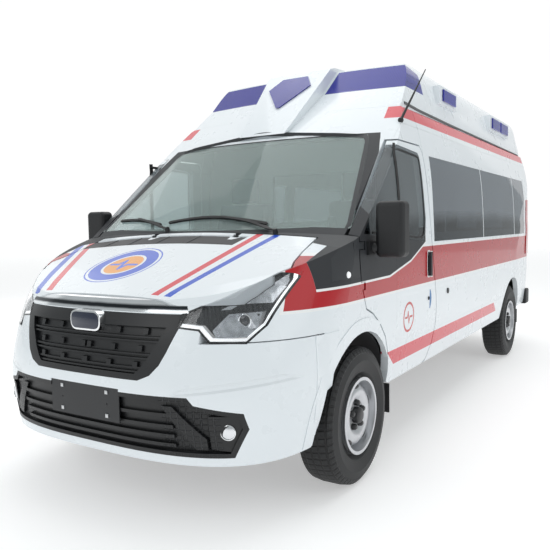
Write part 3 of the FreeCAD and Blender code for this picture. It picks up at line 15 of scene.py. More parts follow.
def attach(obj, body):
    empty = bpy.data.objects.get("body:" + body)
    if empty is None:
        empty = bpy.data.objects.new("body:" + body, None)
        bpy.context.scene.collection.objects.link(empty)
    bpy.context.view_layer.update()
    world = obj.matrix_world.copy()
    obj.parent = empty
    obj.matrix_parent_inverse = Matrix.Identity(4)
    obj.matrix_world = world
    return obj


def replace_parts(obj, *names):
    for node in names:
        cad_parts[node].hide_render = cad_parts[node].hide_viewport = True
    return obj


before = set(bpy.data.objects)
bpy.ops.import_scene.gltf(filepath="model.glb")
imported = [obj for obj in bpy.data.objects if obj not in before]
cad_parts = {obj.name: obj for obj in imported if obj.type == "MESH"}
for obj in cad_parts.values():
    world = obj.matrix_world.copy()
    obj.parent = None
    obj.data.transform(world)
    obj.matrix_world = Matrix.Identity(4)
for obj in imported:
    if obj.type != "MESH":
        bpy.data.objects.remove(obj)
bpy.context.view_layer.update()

log = logging.getLogger("ambulance")

Color = tuple[float, float, float]
Flat = tuple[float, float]
Outline = tuple[Flat, ...]
Triple = tuple[float, float, float]
Value = Union[float, "Sock"]

FRONT_AXLE = -1.880
REAR_AXLE = 1.870
AXLE_HEIGHT = 0.364
FRONT_TRACK = 1.737
REAR_TRACK = 1.710
SIDES = ((1, "left"), (-1, "right"))
MERGE = 0.00002
STRIP_MERGE = 0.00005
SHARP_EDGE = math.radians(32)


@dataclass(frozen=True)
class Corner:
    """Place of one wheel."""

    name: str
    side: int
    axle: float
    half_track: float

    @property
    def out(self) -> Vector:
        """Direction away from the vehicle."""
        return Vector((self.side, 0, 0))

    def centre(self, outward: float = 0.0) -> Vector:
        """Middle of the wheel, or a point further out on its axle."""
        return Vector((self.side * (self.half_track + outward), self.axle, AXLE_HEIGHT))


CORNERS = tuple(
    Corner(f"{end}_{name}", side, axle, track / 2)
    for end, axle, track in (("front", FRONT_AXLE, FRONT_TRACK), ("rear", REAR_AXLE, REAR_TRACK))
    for side, name in SIDES)


class Plane(Enum):
    """Flat view for outlines: the axis across it, the way it looks and where its rays start."""

    LEFT = (0, -1, 3.0)
    FRONT = (1, 1, -5.0)
    TOP = (2, -1, 4.0)

    def lift(self, point: Flat, depth: float = 0.0) -> Vector:
        """Place a flat point in space, at a depth across the view."""
        axis = self.value[0]
        return Vector((*point[:axis], depth, *point[axis:]))

    def flatten(self, place: Vector) -> Flat:
        """Drop the coordinate across the view."""
        first, second = (place[i] for i in range(3) if i != self.value[0])
        return first, second

    @property
    def inward(self) -> Vector:
        """Direction in which a ray meets the body."""
        return self.lift((0, 0), self.value[1])

    @property
    def start(self) -> float:
        """Depth from which rays set out."""
        return self.value[2]


def loop(points: Sequence[Flat]) -> list[tuple[Flat, Flat]]:
    """Pair each corner of a closed outline with the next one."""
    return list(zip(points, [*points[1:], points[0]]))


def turning(points: Sequence[Flat]) -> int:
    """Tell whether a closed outline runs anticlockwise (1) or clockwise (-1)."""
    return 1 if sum(a[0] * b[1] - b[0] * a[1] for a, b in loop(points)) > 0 else -1


def shrink(points: Sequence[Flat], amount: float) -> list[Flat]:
    """Move a closed outline inward by a set distance."""
    turn = turning(points)
    out = []
    for i, here in enumerate(points):
        before = Vector(here) - Vector(points[i - 1])
        after = Vector(points[(i + 1) % len(points)]) - Vector(here)
        first = Vector((before.y, -before.x)).normalized() * turn
        second = Vector((after.y, -after.x)).normalized() * turn
        spot = Vector(here) - (first + second) * (amount / (1 + first.dot(second)))
        out.append((spot.x, spot.y))
    return out


def soften(points: Sequence[Flat], radius: float, steps: int = 4, closed: bool = True) -> list[Flat]:
    """Round the corners of an outline.

    Args:
        points: the corners.
        radius: how far from a corner the rounding begins.
        steps: points per corner.
        closed: whether the last corner joins the first.

    Returns:
        The rounded outline.
    """
    count = len(points)
    longest_share = 0.45
    out: list[Flat] = []
    for i, here in enumerate(points):
        if not closed and i in (0, count - 1):
            out.append(here)
            continue
        corner = Vector(here)
        before = Vector(points[i - 1]) - corner
        after = Vector(points[(i + 1) % count]) - corner
        reach = min(radius, before.length * longest_share, after.length * longest_share)
        start = corner + before.normalized() * reach
        end = corner + after.normalized() * reach
        for step in range(steps + 1):
            t = step / steps
            spot = start * (1 - t) ** 2 + corner * (2 * t * (1 - t)) + end * t ** 2
            out.append((spot.x, spot.y))
    return out


def resample(points: Sequence[Flat], spacing: float, closed: bool) -> list[Flat]:
    """Add points along an outline so that none lie further apart than the spacing."""
    out: list[Flat] = []
    for (a, b), (c, d) in loop(points) if closed else zip(points, points[1:]):
        parts = max(1, math.ceil(math.hypot(c - a, d - b) / spacing))
        out += [(a + (c - a) * k / parts, b + (d - b) * k / parts) for k in range(parts)]
    if not closed:
        out.append(points[-1])
    return out


def operation(kind: str, swapped: bool = False) -> Callable[..., "Sock"]:
    """Make a method that adds one Math node, with its two values swapped if asked."""

    def method(self: "Sock", other: Value = 0.0) -> "Sock":
        first, second = (other, self) if swapped else (self, other)
        return self.graph.math(kind, first, second)

    return method


class Sock:
    """A shader value that takes part in arithmetic."""

    def __init__(self, graph: "Graph", socket: bpy.types.NodeSocket) -> None:
        """Keep the socket and the graph that it belongs to."""
        self.graph = graph
        self.socket = socket

    __add__ = operation("ADD")
    __radd__ = operation("ADD", swapped=True)
    __sub__ = operation("SUBTRACT")
    __rsub__ = operation("SUBTRACT", swapped=True)
    __mul__ = operation("MULTIPLY")
    __rmul__ = operation("MULTIPLY", swapped=True)
    __pow__ = operation("POWER")
    __abs__ = operation("ABSOLUTE")
    sine = operation("SINE")
    angle = operation("ARCTAN2")
    least = operation("MINIMUM")
    most = operation("MAXIMUM")

    def above(self, edge: Value, soft: float = 0.001) -> "Sock":
        """Mask that is 1 where the value lies above an edge, with a turn of a soft width."""
        return self.graph.math("ADD", (self - edge) * (1 / soft), 0.5, clamp=True)

    def within(self, low: Value, high: Value, soft: float = 0.001) -> "Sock":
        """Mask that is 1 between two edges."""
        return self.above(low, soft) * (1 - self.above(high, soft))


class Graph:
    """A material under construction."""

    def __init__(self, name: str) -> None:
        """Start a material with a bare surface shader."""
        self.material = bpy.data.materials.new(name)
        self.material.use_nodes = True
        self.tree = self.material.node_tree
        self.shader = next(n for n in self.tree.nodes if n.type == "BSDF_PRINCIPLED")
        self.output = next(n for n in self.tree.nodes if n.type == "OUTPUT_MATERIAL")
        self._place: Optional[Sock] = None

    def add(self, kind: str, settings: dict, inputs: dict, output: int = 0) -> Sock:
        """Add any node.

        Args:
            kind: the node's type.
            settings: its properties, set first.
            inputs: values or links of its sockets, by number or name.
            output: which result to return.

        Returns:
            The chosen result.
        """
        node = self.tree.nodes.new(kind)
        for key, value in settings.items():
            setattr(node, key, value)
        for key, value in inputs.items():
            self.feed(node.inputs[key], value)
        return Sock(self, node.outputs[output])

    def feed(self, socket: bpy.types.NodeSocket, value: Union[Value, tuple]) -> None:
        """Link or set one socket."""
        if isinstance(value, Sock):
            self.tree.links.new(value.socket, socket)
        elif isinstance(value, tuple):
            socket.default_value = value + (1.0,) if socket.type == "RGBA" and len(value) == 3 else value
        else:
            socket.default_value = value

    def math(self, kind: str, first: Value, second: Value = 0.0, clamp: bool = False) -> Sock:
        """Add one Math node and return its result."""
        return self.add("ShaderNodeMath", {"operation": kind, "use_clamp": clamp}, {0: first, 1: second})

    def place(self) -> Sock:
        """Object coordinates."""
        if self._place is None:
            self._place = self.add("ShaderNodeTexCoord", {}, {}, 3)
        return self._place

    def parts(self) -> tuple[Sock, Sock, Sock]:
        """The three object coordinates."""
        node = self.tree.nodes.new("ShaderNodeSeparateXYZ")
        self.feed(node.inputs[0], self.place())
        x, y, z = (Sock(self, result) for result in node.outputs)
        return x, y, z

    def noise(self, scale: float, detail: float = 2.0, rough: float = 0.5) -> Sock:
        """Cloudy value from 0 to 1."""
        return self.add("ShaderNodeTexNoise", {}, {
            "Vector": self.place(), "Scale": scale, "Detail": detail, "Roughness": rough})

    def mix(self, factor: Value, first: Union[Sock, Color], second: Union[Sock, Color]) -> Sock:
        """Blend two colours: a factor of 0 gives the first and 1 the second."""
        return self.add("ShaderNodeMix", {"data_type": "RGBA"}, {0: factor, 6: first, 7: second}, 2)

    def segment(self, u: Sock, v: Sock, start: Flat, end: Flat) -> Sock:
        """Distance from a flat point to a line segment."""
        du, dv = end[0] - start[0], end[1] - start[1]
        along = ((u - start[0]) * du + (v - start[1]) * dv) * (1 / (du * du + dv * dv))
        part = along.least(1.0).most(0.0)
        across = (u - start[0]) - part * du
        up = (v - start[1]) - part * dv
        return (across * across + up * up) ** 0.5

    def trace(self, u: Sock, v: Sock, line: Sequence[Flat]) -> Sock:
        """Distance from a flat point to a broken line."""
        best = self.segment(u, v, line[0], line[1])
        for start, end in zip(line[1:-1], line[2:]):
            best = best.least(self.segment(u, v, start, end))
        return best

    def inside(self, u: Sock, v: Sock, outline: Sequence[Flat], soft: float = 0.001) -> Sock:
        """Mask of a convex outline.

        Args:
            u: first flat coordinate.
            v: second flat coordinate.
            outline: corners in anticlockwise order.
            soft: width of the mask's edge.

        Returns:
            The mask.
        """
        mask: Optional[Sock] = None
        for (a, b), (c, d) in loop(outline):
            length = math.hypot(c - a, d - b)
            side = ((v - b) * ((c - a) / length) - (u - a) * ((d - b) / length)).above(0.0, soft)
            mask = side if mask is None else mask * side
        return mask

    def bump(self, height: Sock, strength: float, distance: float) -> None:
        """Give the surface relief."""
        inputs = {"Strength": strength, "Distance": distance, "Height": height}
        self.feed(self.shader.inputs["Normal"], self.add("ShaderNodeBump", {}, inputs))

    def surface(self, **values: Union[Value, Color]) -> bpy.types.Material:
        """Set the surface shader's sockets, named with underscores for spaces."""
        for key, value in values.items():
            self.feed(self.shader.inputs[key.replace("_", " ")], value)
        return self.material


@dataclass(frozen=True)
class Look:
    """A finish, made once as a material and then shared."""

    name: str

    def material(self) -> bpy.types.Material:
        """Return the finish as a material."""
        return bpy.data.materials.get(self.name) or self.make(Graph(self.name))

    def make(self, graph: Graph) -> bpy.types.Material:
        """Build the material's nodes."""
        raise NotImplementedError


@dataclass(frozen=True)
class Finish(Look):
    """A plain finish with its fine grain and uneven gloss, and if asked a dark band of painted reflection
    between two heights.
    """

    color: Color
    rough: float = 0.5
    metallic: float = 0.0
    coat: float = 0.0
    grain: float = 0.0
    grain_scale: float = 600.0
    grain_depth: float = 0.0006
    soil: float = 0.06
    gloss_spread: float = 0.12
    glow: float = 0.0
    clear: float = 0.0
    ior: float = 1.45
    # band: lowest and highest height of a dark painted reflection, the horizon mirrored in chrome.
    band: Optional[Flat] = None
    painted_reflection_color: Color = (0.03, 0.035, 0.04)
    painted_reflection_soft: Flat = (0.008, 0.010)
    painted_reflection_wander: float = 0.006

    def make(self, graph: Graph) -> bpy.types.Material:
        """Build the material's nodes."""
        cloud = graph.noise(scale=7.0, detail=4.0, rough=0.6)
        dark = tuple(c * (1 - self.soil * 2) for c in self.color)
        light = tuple(min(1.0, c * (1 + self.soil)) for c in self.color)
        base = graph.mix(cloud, dark, light)
        # Painted reflection: the colour turns dark between two heights, for the horizon mirrored in the
        # chrome.
        if self.band:
            height = graph.parts()[2] + cloud * self.painted_reflection_wander
            low, high = (height.above(edge, soft) for edge, soft in zip(self.band, self.painted_reflection_soft))
            base = graph.mix(low * (1 - high), base, self.painted_reflection_color)
        rough = cloud * self.gloss_spread + (self.rough - self.gloss_spread / 2)
        if self.grain:
            graph.bump(graph.noise(self.grain_scale), self.grain, self.grain_depth)
        values = {"Base_Color": base, "Roughness": rough, "Metallic": self.metallic, "Coat_Weight": self.coat}
        if self.glow:
            values.update(Emission_Color=self.color, Emission_Strength=self.glow)
        if self.clear:
            values.update(Base_Color=self.color, Roughness=self.rough)
            values.update(Transmission_Weight=self.clear, IOR=self.ior)
        return graph.surface(**values)


@dataclass(frozen=True)
class TintedGlass(Look):
    """Tinted safety glass, under a pale veil that stands for the sky mirrored in it."""

    tint: Color
    veil: float
    veil_tint: Color
    veil_low: float = 0.0
    veil_edge: float = 0.10
    ior: float = 1.3

    def make(self, graph: Graph) -> bpy.types.Material:
        """Build the material's nodes."""
        haze = graph.noise(scale=3.0, detail=3.0) * 0.03
        graph.surface(Base_Color=self.tint, Roughness=haze, Transmission_Weight=1.0, IOR=self.ior)
        sky = graph.add("ShaderNodeBsdfDiffuse", {}, {"Color": self.veil_tint})
        edge = graph.parts()[2] + graph.noise(scale=1.4) * self.veil_edge
        part = edge.above(self.veil_low, self.veil_edge) * self.veil
        glass = Sock(graph, graph.shader.outputs[0])
        blend = graph.add("ShaderNodeMixShader", {}, {0: part, 1: glass, 2: sky})
        graph.feed(graph.output.inputs[0], blend)
        return graph.material


@dataclass(frozen=True)
class BlueLens(Look):
    """Deep blue lamp cover with an inner ribbed reflector."""

    name: str = "blue_lens"
    deep: Color = (0.005, 0.006, 0.17)
    pale: Color = (0.030, 0.034, 0.36)
    ribs_per_metre: float = 42.0
    rib_share: float = 0.35
    rib_depth: float = 0.002

    def make(self, graph: Graph) -> bpy.types.Material:
        """Build the material's nodes."""
        x = graph.parts()[0]
        rib = abs((x * (self.ribs_per_metre * math.tau)).sine())
        cells = rib * self.rib_share + graph.noise(scale=2.2, detail=3.0) * (1 - self.rib_share)
        graph.bump(rib, 0.15, self.rib_depth)
        color = graph.mix(cells, self.deep, self.pale)
        return graph.surface(Base_Color=color, Roughness=0.14, Coat_Weight=0.3, Specular_IOR_Level=0.35)


WHITE = (0.80, 0.845, 0.875)
RED = (0.43, 0.0, 0.006)
PALE_RED = (0.66, 0.038, 0.060)
BLUE = (0.012, 0.085, 0.56)
EDGE_WHITE = (0.86, 0.87, 0.87)
TRIM_DARK = (0.026, 0.028, 0.032)
RING_BLUE = (0.045, 0.12, 0.62)
DISC_ORANGE = (0.84, 0.36, 0.07)
BEAT_BLUE = (0.07, 0.17, 0.72)
EMBLEM_RED = (0.52, 0.03, 0.03)
HEARTBEAT: Outline = ((-1.0, 0.0), (-0.42, 0.0), (-0.22, 0.55), (0.08, -0.6), (0.3, 0.0), (1.0, 0.0))


@dataclass(frozen=True)
class BodyPaint(Look):
    """White paint with the red side stripes, the hood stripes and plain ring emblems."""

    name: str = "striped_paint"
    belt: bool = True
    belt_low: float = 0.985
    belt_high: float = 1.222
    belt_start: Flat = (-2.487, -2.375)
    hood_lines: tuple[Triple, ...] = (
        (0.322, 0.440, 0.022), (0.400, 0.545, 0.020), (-0.453, -0.845, 0.024), (-0.552, -0.930, 0.024))
    hood_line_front: float = -2.67
    hood_line_length: float = 0.66
    hood_line_span: Flat = (-2.72, -1.96)
    hood_line_low: float = 1.03
    pillar_foot: Flat = (-1.80, 1.335)
    pillar_top: Flat = (-1.345, 1.932)
    pillar_low: float = 1.338
    trim_foot: Outline = ((-1.960, 1.074), (-1.507, 1.080), (-1.161, 1.150), (-0.905, 1.245))
    trim_front: float = -2.30
    trim_end: float = -0.880
    trim_top: float = 1.345
    trim_edge: float = 0.012
    grip: Flat = (-0.815, 1.105)
    grip_half: Flat = (0.029, 0.080)
    grip_edge: float = 0.010
    sill_low: float = 0.545
    sill_high: float = 0.635
    sill_span: Flat = (-1.40, 1.21)
    sill_lean: float = 1.3
    roof_low: float = 2.036
    roof_high: float = 2.124
    roof_start: float = -1.085
    roof_lean: float = 1.20
    stripe_end: float = 2.79
    edge: float = 0.014
    disc: Flat = (-0.17, -2.43)
    disc_squeeze: float = 0.94
    disc_radius: float = 0.104
    disc_rings: tuple[Flat, ...] = ((0.118, 0.182), (0.196, 0.204))
    disc_beat: Flat = (0.086, 0.010)
    disc_low: float = 1.06
    door_ring: Flat = (-1.195, 0.80)
    door_ring_radii: Flat = (0.078, 0.094)
    door_beat: Flat = (0.060, 0.0065)
    ledge: Outline = ((0.50, 0.636), (0.93, 0.690), (0.90, 0.712), (0.54, 0.664))

    def make(self, graph: Graph) -> bpy.types.Material:
        """Build the material's nodes."""
        x, y, z = graph.parts()
        side = abs(x).above(0.88)
        color = graph.mix(graph.noise(scale=0.9), tuple(c * 0.975 for c in WHITE), WHITE)
        layers: list[tuple[Sock, Color]] = []
        if self.belt:
            layers += [(self._belt(x, y, z, self.edge), EDGE_WHITE), (self._belt(x, y, z, 0.0), RED)]
        layers += [(self._sill(x, y, z), PALE_RED), (self._roof_line(x, y, z), PALE_RED)]
        for (front, rear, half), paint in zip(self.hood_lines, (PALE_RED, BLUE, PALE_RED, BLUE)):
            layers.append((self._hood_line(x, y, z, rear, front, half), paint))
        layers += self._hood_emblem(graph, x, y, z) + self._door_emblem(graph, x, y, z)
        dark = (self._trim(y, z, 0.0) * side).most(self._grip(y, z, 0.0) * side).most(self._pillar(y, z))
        layers += [(self._grip(y, z, self.grip_edge) * side, EDGE_WHITE),
                   (self._trim(y, z, self.trim_edge) * side, EDGE_WHITE), (dark, TRIM_DARK)]
        for mask, paint in layers:
            color = graph.mix(mask, color, paint)
        graph.bump(self._relief(graph, x, y, z) + graph.noise(scale=2.2, detail=1.0) * 0.0006, 1.0, 1.0)
        dust = graph.noise(scale=5.0, detail=5.0, rough=0.6)
        return graph.surface(Base_Color=color, Roughness=dust * 0.08 + 0.24 + dark * 0.26,
                             Coat_Weight=(1 - dark) * 0.35, Coat_Roughness=0.05, Specular_IOR_Level=0.35)

    def _trim(self, y: Sock, z: Sock, grow: float) -> Sock:
        """Mask of the dark panel below the door window."""
        mask = y.within(self.trim_front, self.trim_end + grow) * (1 - z.above(self.trim_top))
        for (a, b), (c, d) in zip(self.trim_foot, self.trim_foot[1:]):
            slope = (d - b) / (c - a)
            mask = mask * (z - (y - a) * slope).above(b - grow)
        return mask

    def _grip(self, y: Sock, z: Sock, grow: float) -> Sock:
        """Mask of the dark door handle, an oval with square shoulders."""
        u = abs(y - self.grip[0]) * (1 / (self.grip_half[0] + grow))
        v = abs(z - self.grip[1]) * (1 / (self.grip_half[1] + grow))
        return 1 - (u ** 4 + v ** 4).above(1.0, 0.05)

    def _pillar(self, y: Sock, z: Sock) -> Sock:
        """Mask of the dark windscreen pillars and the front of the door frame."""
        (a, b), (c, d) = self.pillar_foot, self.pillar_top
        edge = (z - b) * ((c - a) / (d - b)) + a
        return (1 - y.above(edge)) * z.within(self.pillar_low, self.pillar_top[1])

    def _relief(self, graph: Graph, x: Sock, y: Sock, z: Sock) -> Sock:
        """Height of the pressed creases along the sides and the bumper."""
        crease = z.above(0.685, 0.03) * 0.004 - z.above(0.655, 0.012) * 0.002
        low = z.above(0.940, 0.02) * 0.002
        side = abs(x).above(0.90) * y.above(-1.40)
        ledge = graph.inside(abs(x), z, self.ledge, 0.012)
        nose = 1 - y.above(-2.35)
        return (crease + low) * side - ledge * nose * 0.006

    def _belt(self, x: Sock, y: Sock, z: Sock, grow: float) -> Sock:
        """Mask of the wide side stripe with its slanted front end."""
        slope = (self.belt_start[1] - self.belt_start[0]) / (self.belt_high - self.belt_low)
        front = (z - self.belt_low) * slope + (self.belt_start[0] - grow)
        band = z.within(self.belt_low - grow, self.belt_high + grow)
        return band * y.above(front) * (1 - y.above(self.stripe_end + grow)) * abs(x).above(0.60)

    def _sill(self, x: Sock, y: Sock, z: Sock) -> Sock:
        """Mask of the narrow low stripe with slanted ends."""
        slanted = y + (z - self.sill_low) * self.sill_lean
        return z.within(self.sill_low, self.sill_high) * slanted.within(*self.sill_span) * abs(x).above(0.60)

    def _roof_line(self, x: Sock, y: Sock, z: Sock) -> Sock:
        """Mask of the stripe under the rain gutter."""
        front = (z - self.roof_low) * self.roof_lean + self.roof_start
        band = z.within(self.roof_low, self.roof_high)
        return band * y.above(front) * (1 - y.above(self.stripe_end)) * abs(x).above(0.70)

    def _hood_line(self, x: Sock, y: Sock, z: Sock, rear: float, front: float, half: float) -> Sock:
        """Mask of one slanted stripe on the hood."""
        slope = (rear - front) / self.hood_line_length
        middle = (y - self.hood_line_front) * slope + front
        return (x - middle).within(-half, half) * y.within(*self.hood_line_span) * z.above(self.hood_line_low)

    @staticmethod
    def _beat(graph: Graph, u: Sock, v: Sock, size: float, half: float) -> Sock:
        """Mask of a heartbeat line of a given half length and half width."""
        return 1 - graph.trace(u, v, [(a * size, b * size) for a, b in HEARTBEAT]).above(half)

    def _hood_emblem(self, graph: Graph, x: Sock, y: Sock, z: Sock) -> list[tuple[Sock, Color]]:
        """Blue ring round an orange disc with a heartbeat line."""
        u, v = (x - self.disc[0]) * self.disc_squeeze, y - self.disc[1]
        reach = (u * u + v * v) ** 0.5
        zone = z.above(self.disc_low)
        rings = [(reach.within(*ring) * zone, RING_BLUE) for ring in self.disc_rings]
        return rings + [((1 - reach.above(self.disc_radius)) * zone, DISC_ORANGE),
                        (self._beat(graph, u, v, *self.disc_beat) * zone, BEAT_BLUE)]

    def _door_emblem(self, graph: Graph, x: Sock, y: Sock, z: Sock) -> list[tuple[Sock, Color]]:
        """Red ring with a heartbeat line on each cab door."""
        u, v = y - self.door_ring[0], z - self.door_ring[1]
        reach = (u * u + v * v) ** 0.5
        side = abs(x).above(0.90)
        return [(reach.within(*self.door_ring_radii) * side, EMBLEM_RED),
                (self._beat(graph, u, v, *self.door_beat) * side, EMBLEM_RED)]


LAMP_OUTLINE: Outline = (
    (0.500, 0.985), (0.498, 0.925), (0.590, 0.915), (0.640, 0.864), (0.775, 0.858), (0.830, 0.930),
    (0.885, 1.130), (0.875, 1.195), (0.660, 1.060))


@dataclass(frozen=True)
class LampHousing(Look):
    """Black headlamp housing with a silver bowl, silver trim and a white light line."""

    name: str = "lamp_housing"
    line_inset: float = 0.015
    line_half: float = 0.0062
    bowl: Outline = (
        (0.642, 0.916), (0.662, 0.880), (0.768, 0.886), (0.796, 0.912), (0.802, 0.990), (0.690, 0.984))
    upper: Outline = ((0.700, 1.024), (0.815, 1.024), (0.850, 1.120), (0.848, 1.150))
    brow: Outline = (
        (0.600, 0.972), (0.625, 0.955), (0.682, 1.000), (0.800, 1.004), (0.806, 1.016), (0.672, 1.016))
    teeth_density: float = 190.0

    def make(self, graph: Graph) -> bpy.types.Material:
        """Build the material's nodes."""
        x, _, z = graph.parts()
        across = abs(x)
        path = shrink(LAMP_OUTLINE, self.line_inset)[1:8]
        line = 1 - graph.trace(across, z, path).above(self.line_half, 0.0015)
        silver = graph.inside(across, z, self.bowl)
        for outline in (self.upper, self.brow):
            silver = silver.most(graph.inside(across, z, outline))
        facet = graph.noise(scale=26.0, detail=1.0)
        bright = graph.mix(facet, (0.34, 0.35, 0.37), (0.88, 0.89, 0.91))
        teeth = abs(((across + z * 0.35) * self.teeth_density).sine())
        black = graph.mix(teeth, (0.010, 0.011, 0.012), (0.035, 0.037, 0.040))
        color = graph.mix(line, graph.mix(silver, black, bright), (0.95, 0.96, 0.97))
        graph.bump(facet, 0.4, 0.004)
        return graph.surface(Base_Color=color, Roughness=0.22 - silver * 0.06, Metallic=silver * 0.9,
                             Emission_Color=graph.mix(line, (0, 0, 0), (1, 1, 1)), Emission_Strength=0.55)


@dataclass(frozen=True)
class TyreRubber(Look):
    """Tyre with tread grooves, shoulder lugs and sidewall rings."""

    middle: Flat
    tread_from: float = 0.338
    shoulder: Flat = (0.330, 0.352)
    ringed: Flat = (0.225, 0.25)
    blend: float = 0.004
    lugs: float = 58.0
    lug_slant: float = 20.0
    groove_density: float = 150.0
    ring_density: float = 700.0
    tread_depth: float = 0.006
    shoulder_depth: float = 0.003
    ring_depth: float = 0.0003

    def make(self, graph: Graph) -> bpy.types.Material:
        """Build the material's nodes."""
        x, y, z = graph.parts()
        v, w = y - self.middle[1], z - AXLE_HEIGHT
        reach = (v * v + w * w) ** 0.5
        across = abs(x) - self.middle[0]
        tread = reach.above(self.tread_from, self.blend)
        lug = (w.angle(v) * self.lugs + across * self.lug_slant).sine().above(-0.55, 0.5)
        grooves = (across * self.groove_density).sine().above(-0.72, 0.35)
        rings = (reach * self.ring_density).sine() * reach.within(*self.ringed, self.blend)
        shoulder = reach.within(*self.shoulder, self.blend)
        height = lug * grooves * tread * self.tread_depth + lug * shoulder * self.shoulder_depth
        graph.bump(height + rings * self.ring_depth, 1.0, 1.0)
        dust = graph.noise(scale=9.0, detail=4.0, rough=0.6)
        shade = graph.mix(dust, (0.007, 0.0075, 0.0085), (0.016, 0.017, 0.018))
        # Painted shade: the grooves between the lugs are darker than the raised lug tops.
        color = graph.mix((1 - lug * grooves) * tread, shade, (0.003, 0.003, 0.0035))
        return graph.surface(Base_Color=color, Roughness=dust * 0.10 + 0.52)


@dataclass(frozen=True)
class Honeycomb(Look):
    """Black plastic whose sunk parts carry a honeycomb mesh."""

    name: str = "honeycomb_black"
    cell: float = 0.030
    span: Flat = (0.44, 0.70)
    stretch: Triple = (1.0, 0.02, 1.15)
    depth: float = 0.006

    def make(self, graph: Graph) -> bpy.types.Material:
        """Build the material's nodes."""
        where = graph.add("ShaderNodeMapping", {"vector_type": "POINT"}, {
            "Vector": graph.place(), "Scale": self.stretch})
        cells = graph.add("ShaderNodeTexVoronoi", {"feature": "DISTANCE_TO_EDGE"}, {
            "Vector": where, "Scale": 1 / self.cell, "Randomness": 0.0})
        wall = (1 - cells.above(0.10, 0.08)) * abs(graph.parts()[0]).within(*self.span)
        graph.bump(wall, 0.8, self.depth)
        # Painted highlight and shade: the mesh walls are lighter than the dark cells between them.
        color = graph.mix(wall, (0.006, 0.0065, 0.0075), (0.018, 0.019, 0.021))
        return graph.surface(Base_Color=color, Roughness=0.42)


BLACK = Finish("black_trim", (0.010, 0.0105, 0.012), grain=0.25)
RUBBER = Finish("rubber_seal", (0.012, 0.012, 0.013), rough=0.62)
PILLAR = Finish("pillar_grey", (0.024, 0.027, 0.031), rough=0.55, grain=0.35, grain_scale=900)
SATIN_BLACK = Finish("satin_black", (0.009, 0.0095, 0.011), rough=0.38)
SILVER = Finish("satin_silver", (0.55, 0.56, 0.57), rough=0.28, metallic=1.0)
CHROME = Finish("bright_chrome", (0.82, 0.83, 0.84), rough=0.09, metallic=1.0)
# The strip's dark band is a painted reflection of the horizon.
STRIP_CHROME = Finish("strip_chrome", (0.80, 0.82, 0.84), rough=0.12, metallic=1.0, band=(1.004, 1.024))
STEEL = Finish("bare_steel", (0.36, 0.36, 0.37), rough=0.42, metallic=1.0)
RIM = Finish("rim_silver_paint", (0.62, 0.63, 0.65), rough=0.34, metallic=0.8)
SEAT_FABRIC = Finish("seat_fabric", (0.050, 0.055, 0.064), rough=0.85, grain=0.7, grain_scale=1300)
UNDER = Finish("underbody_paint", (0.018, 0.018, 0.02), rough=0.75, grain=0.3, grain_scale=250)
CAST = Finish("cast_metal", (0.16, 0.16, 0.17), rough=0.6, metallic=0.7, grain=0.5, grain_scale=220)
CABIN = Finish("cabin_lining", (0.42, 0.43, 0.44), rough=0.65, grain=0.2)
DASH = Finish("dash_plastic", (0.055, 0.058, 0.065), rough=0.6, grain=0.4, grain_scale=700)
CLEAR = Finish("clear_lens", (0.97, 0.985, 1.0), rough=0.02, clear=1.0)
# Bright white with a faint glow, laid on the trim screws: painted light, as the screws are no lamp.
PAINTED_GLOW_WHITE = Finish("light_strip", (0.92, 0.93, 0.95), rough=0.2, glow=0.25)
REFLECTOR = Finish("reflector", (0.72, 0.73, 0.75), rough=0.12, metallic=1.0)
LENS_DARK = Finish("projector_glass", (0.02, 0.022, 0.028), rough=0.03, coat=1.0)
GUTTER = Finish("gutter_grey", (0.09, 0.095, 0.10))
BADGE_BLUE = Finish("badge_navy", (0.006, 0.012, 0.035), rough=0.2, coat=0.5)
NUT = Finish("nut_black", (0.014, 0.014, 0.016), rough=0.45, coat=0.2)
STICKER_BLUE = Finish("sticker_blue", (0.02, 0.16, 0.42), rough=0.3)
PLATE = Finish("plate_black", (0.012, 0.013, 0.015), rough=0.4)
TAIL_RED = Finish("tail_lens_red", (0.42, 0.006, 0.008), rough=0.1, coat=0.5)
SIDE_GLASS = TintedGlass("side_glass_dark", (0.14, 0.16, 0.18), 0.26, (0.50, 0.55, 0.60), 1.46)
DOOR_GLASS = TintedGlass("door_glass_grey", (0.40, 0.44, 0.47), 0.14, (0.55, 0.60, 0.62), 1.45)
SCREEN_GLASS = TintedGlass("screen_glass_green", (0.66, 0.78, 0.75), 0.20, (0.68, 0.80, 0.78))
PAINT = BodyPaint()
HOOD_PAINT = BodyPaint("hood_paint", belt=False)
FRAME_PAINT = BodyPaint("frame_paint", pillar_foot=(-1.86, 1.335), pillar_top=(-1.205, 1.932))
VENT_MESH = Honeycomb("vent_mesh", 0.012, (0.0, 1.0))


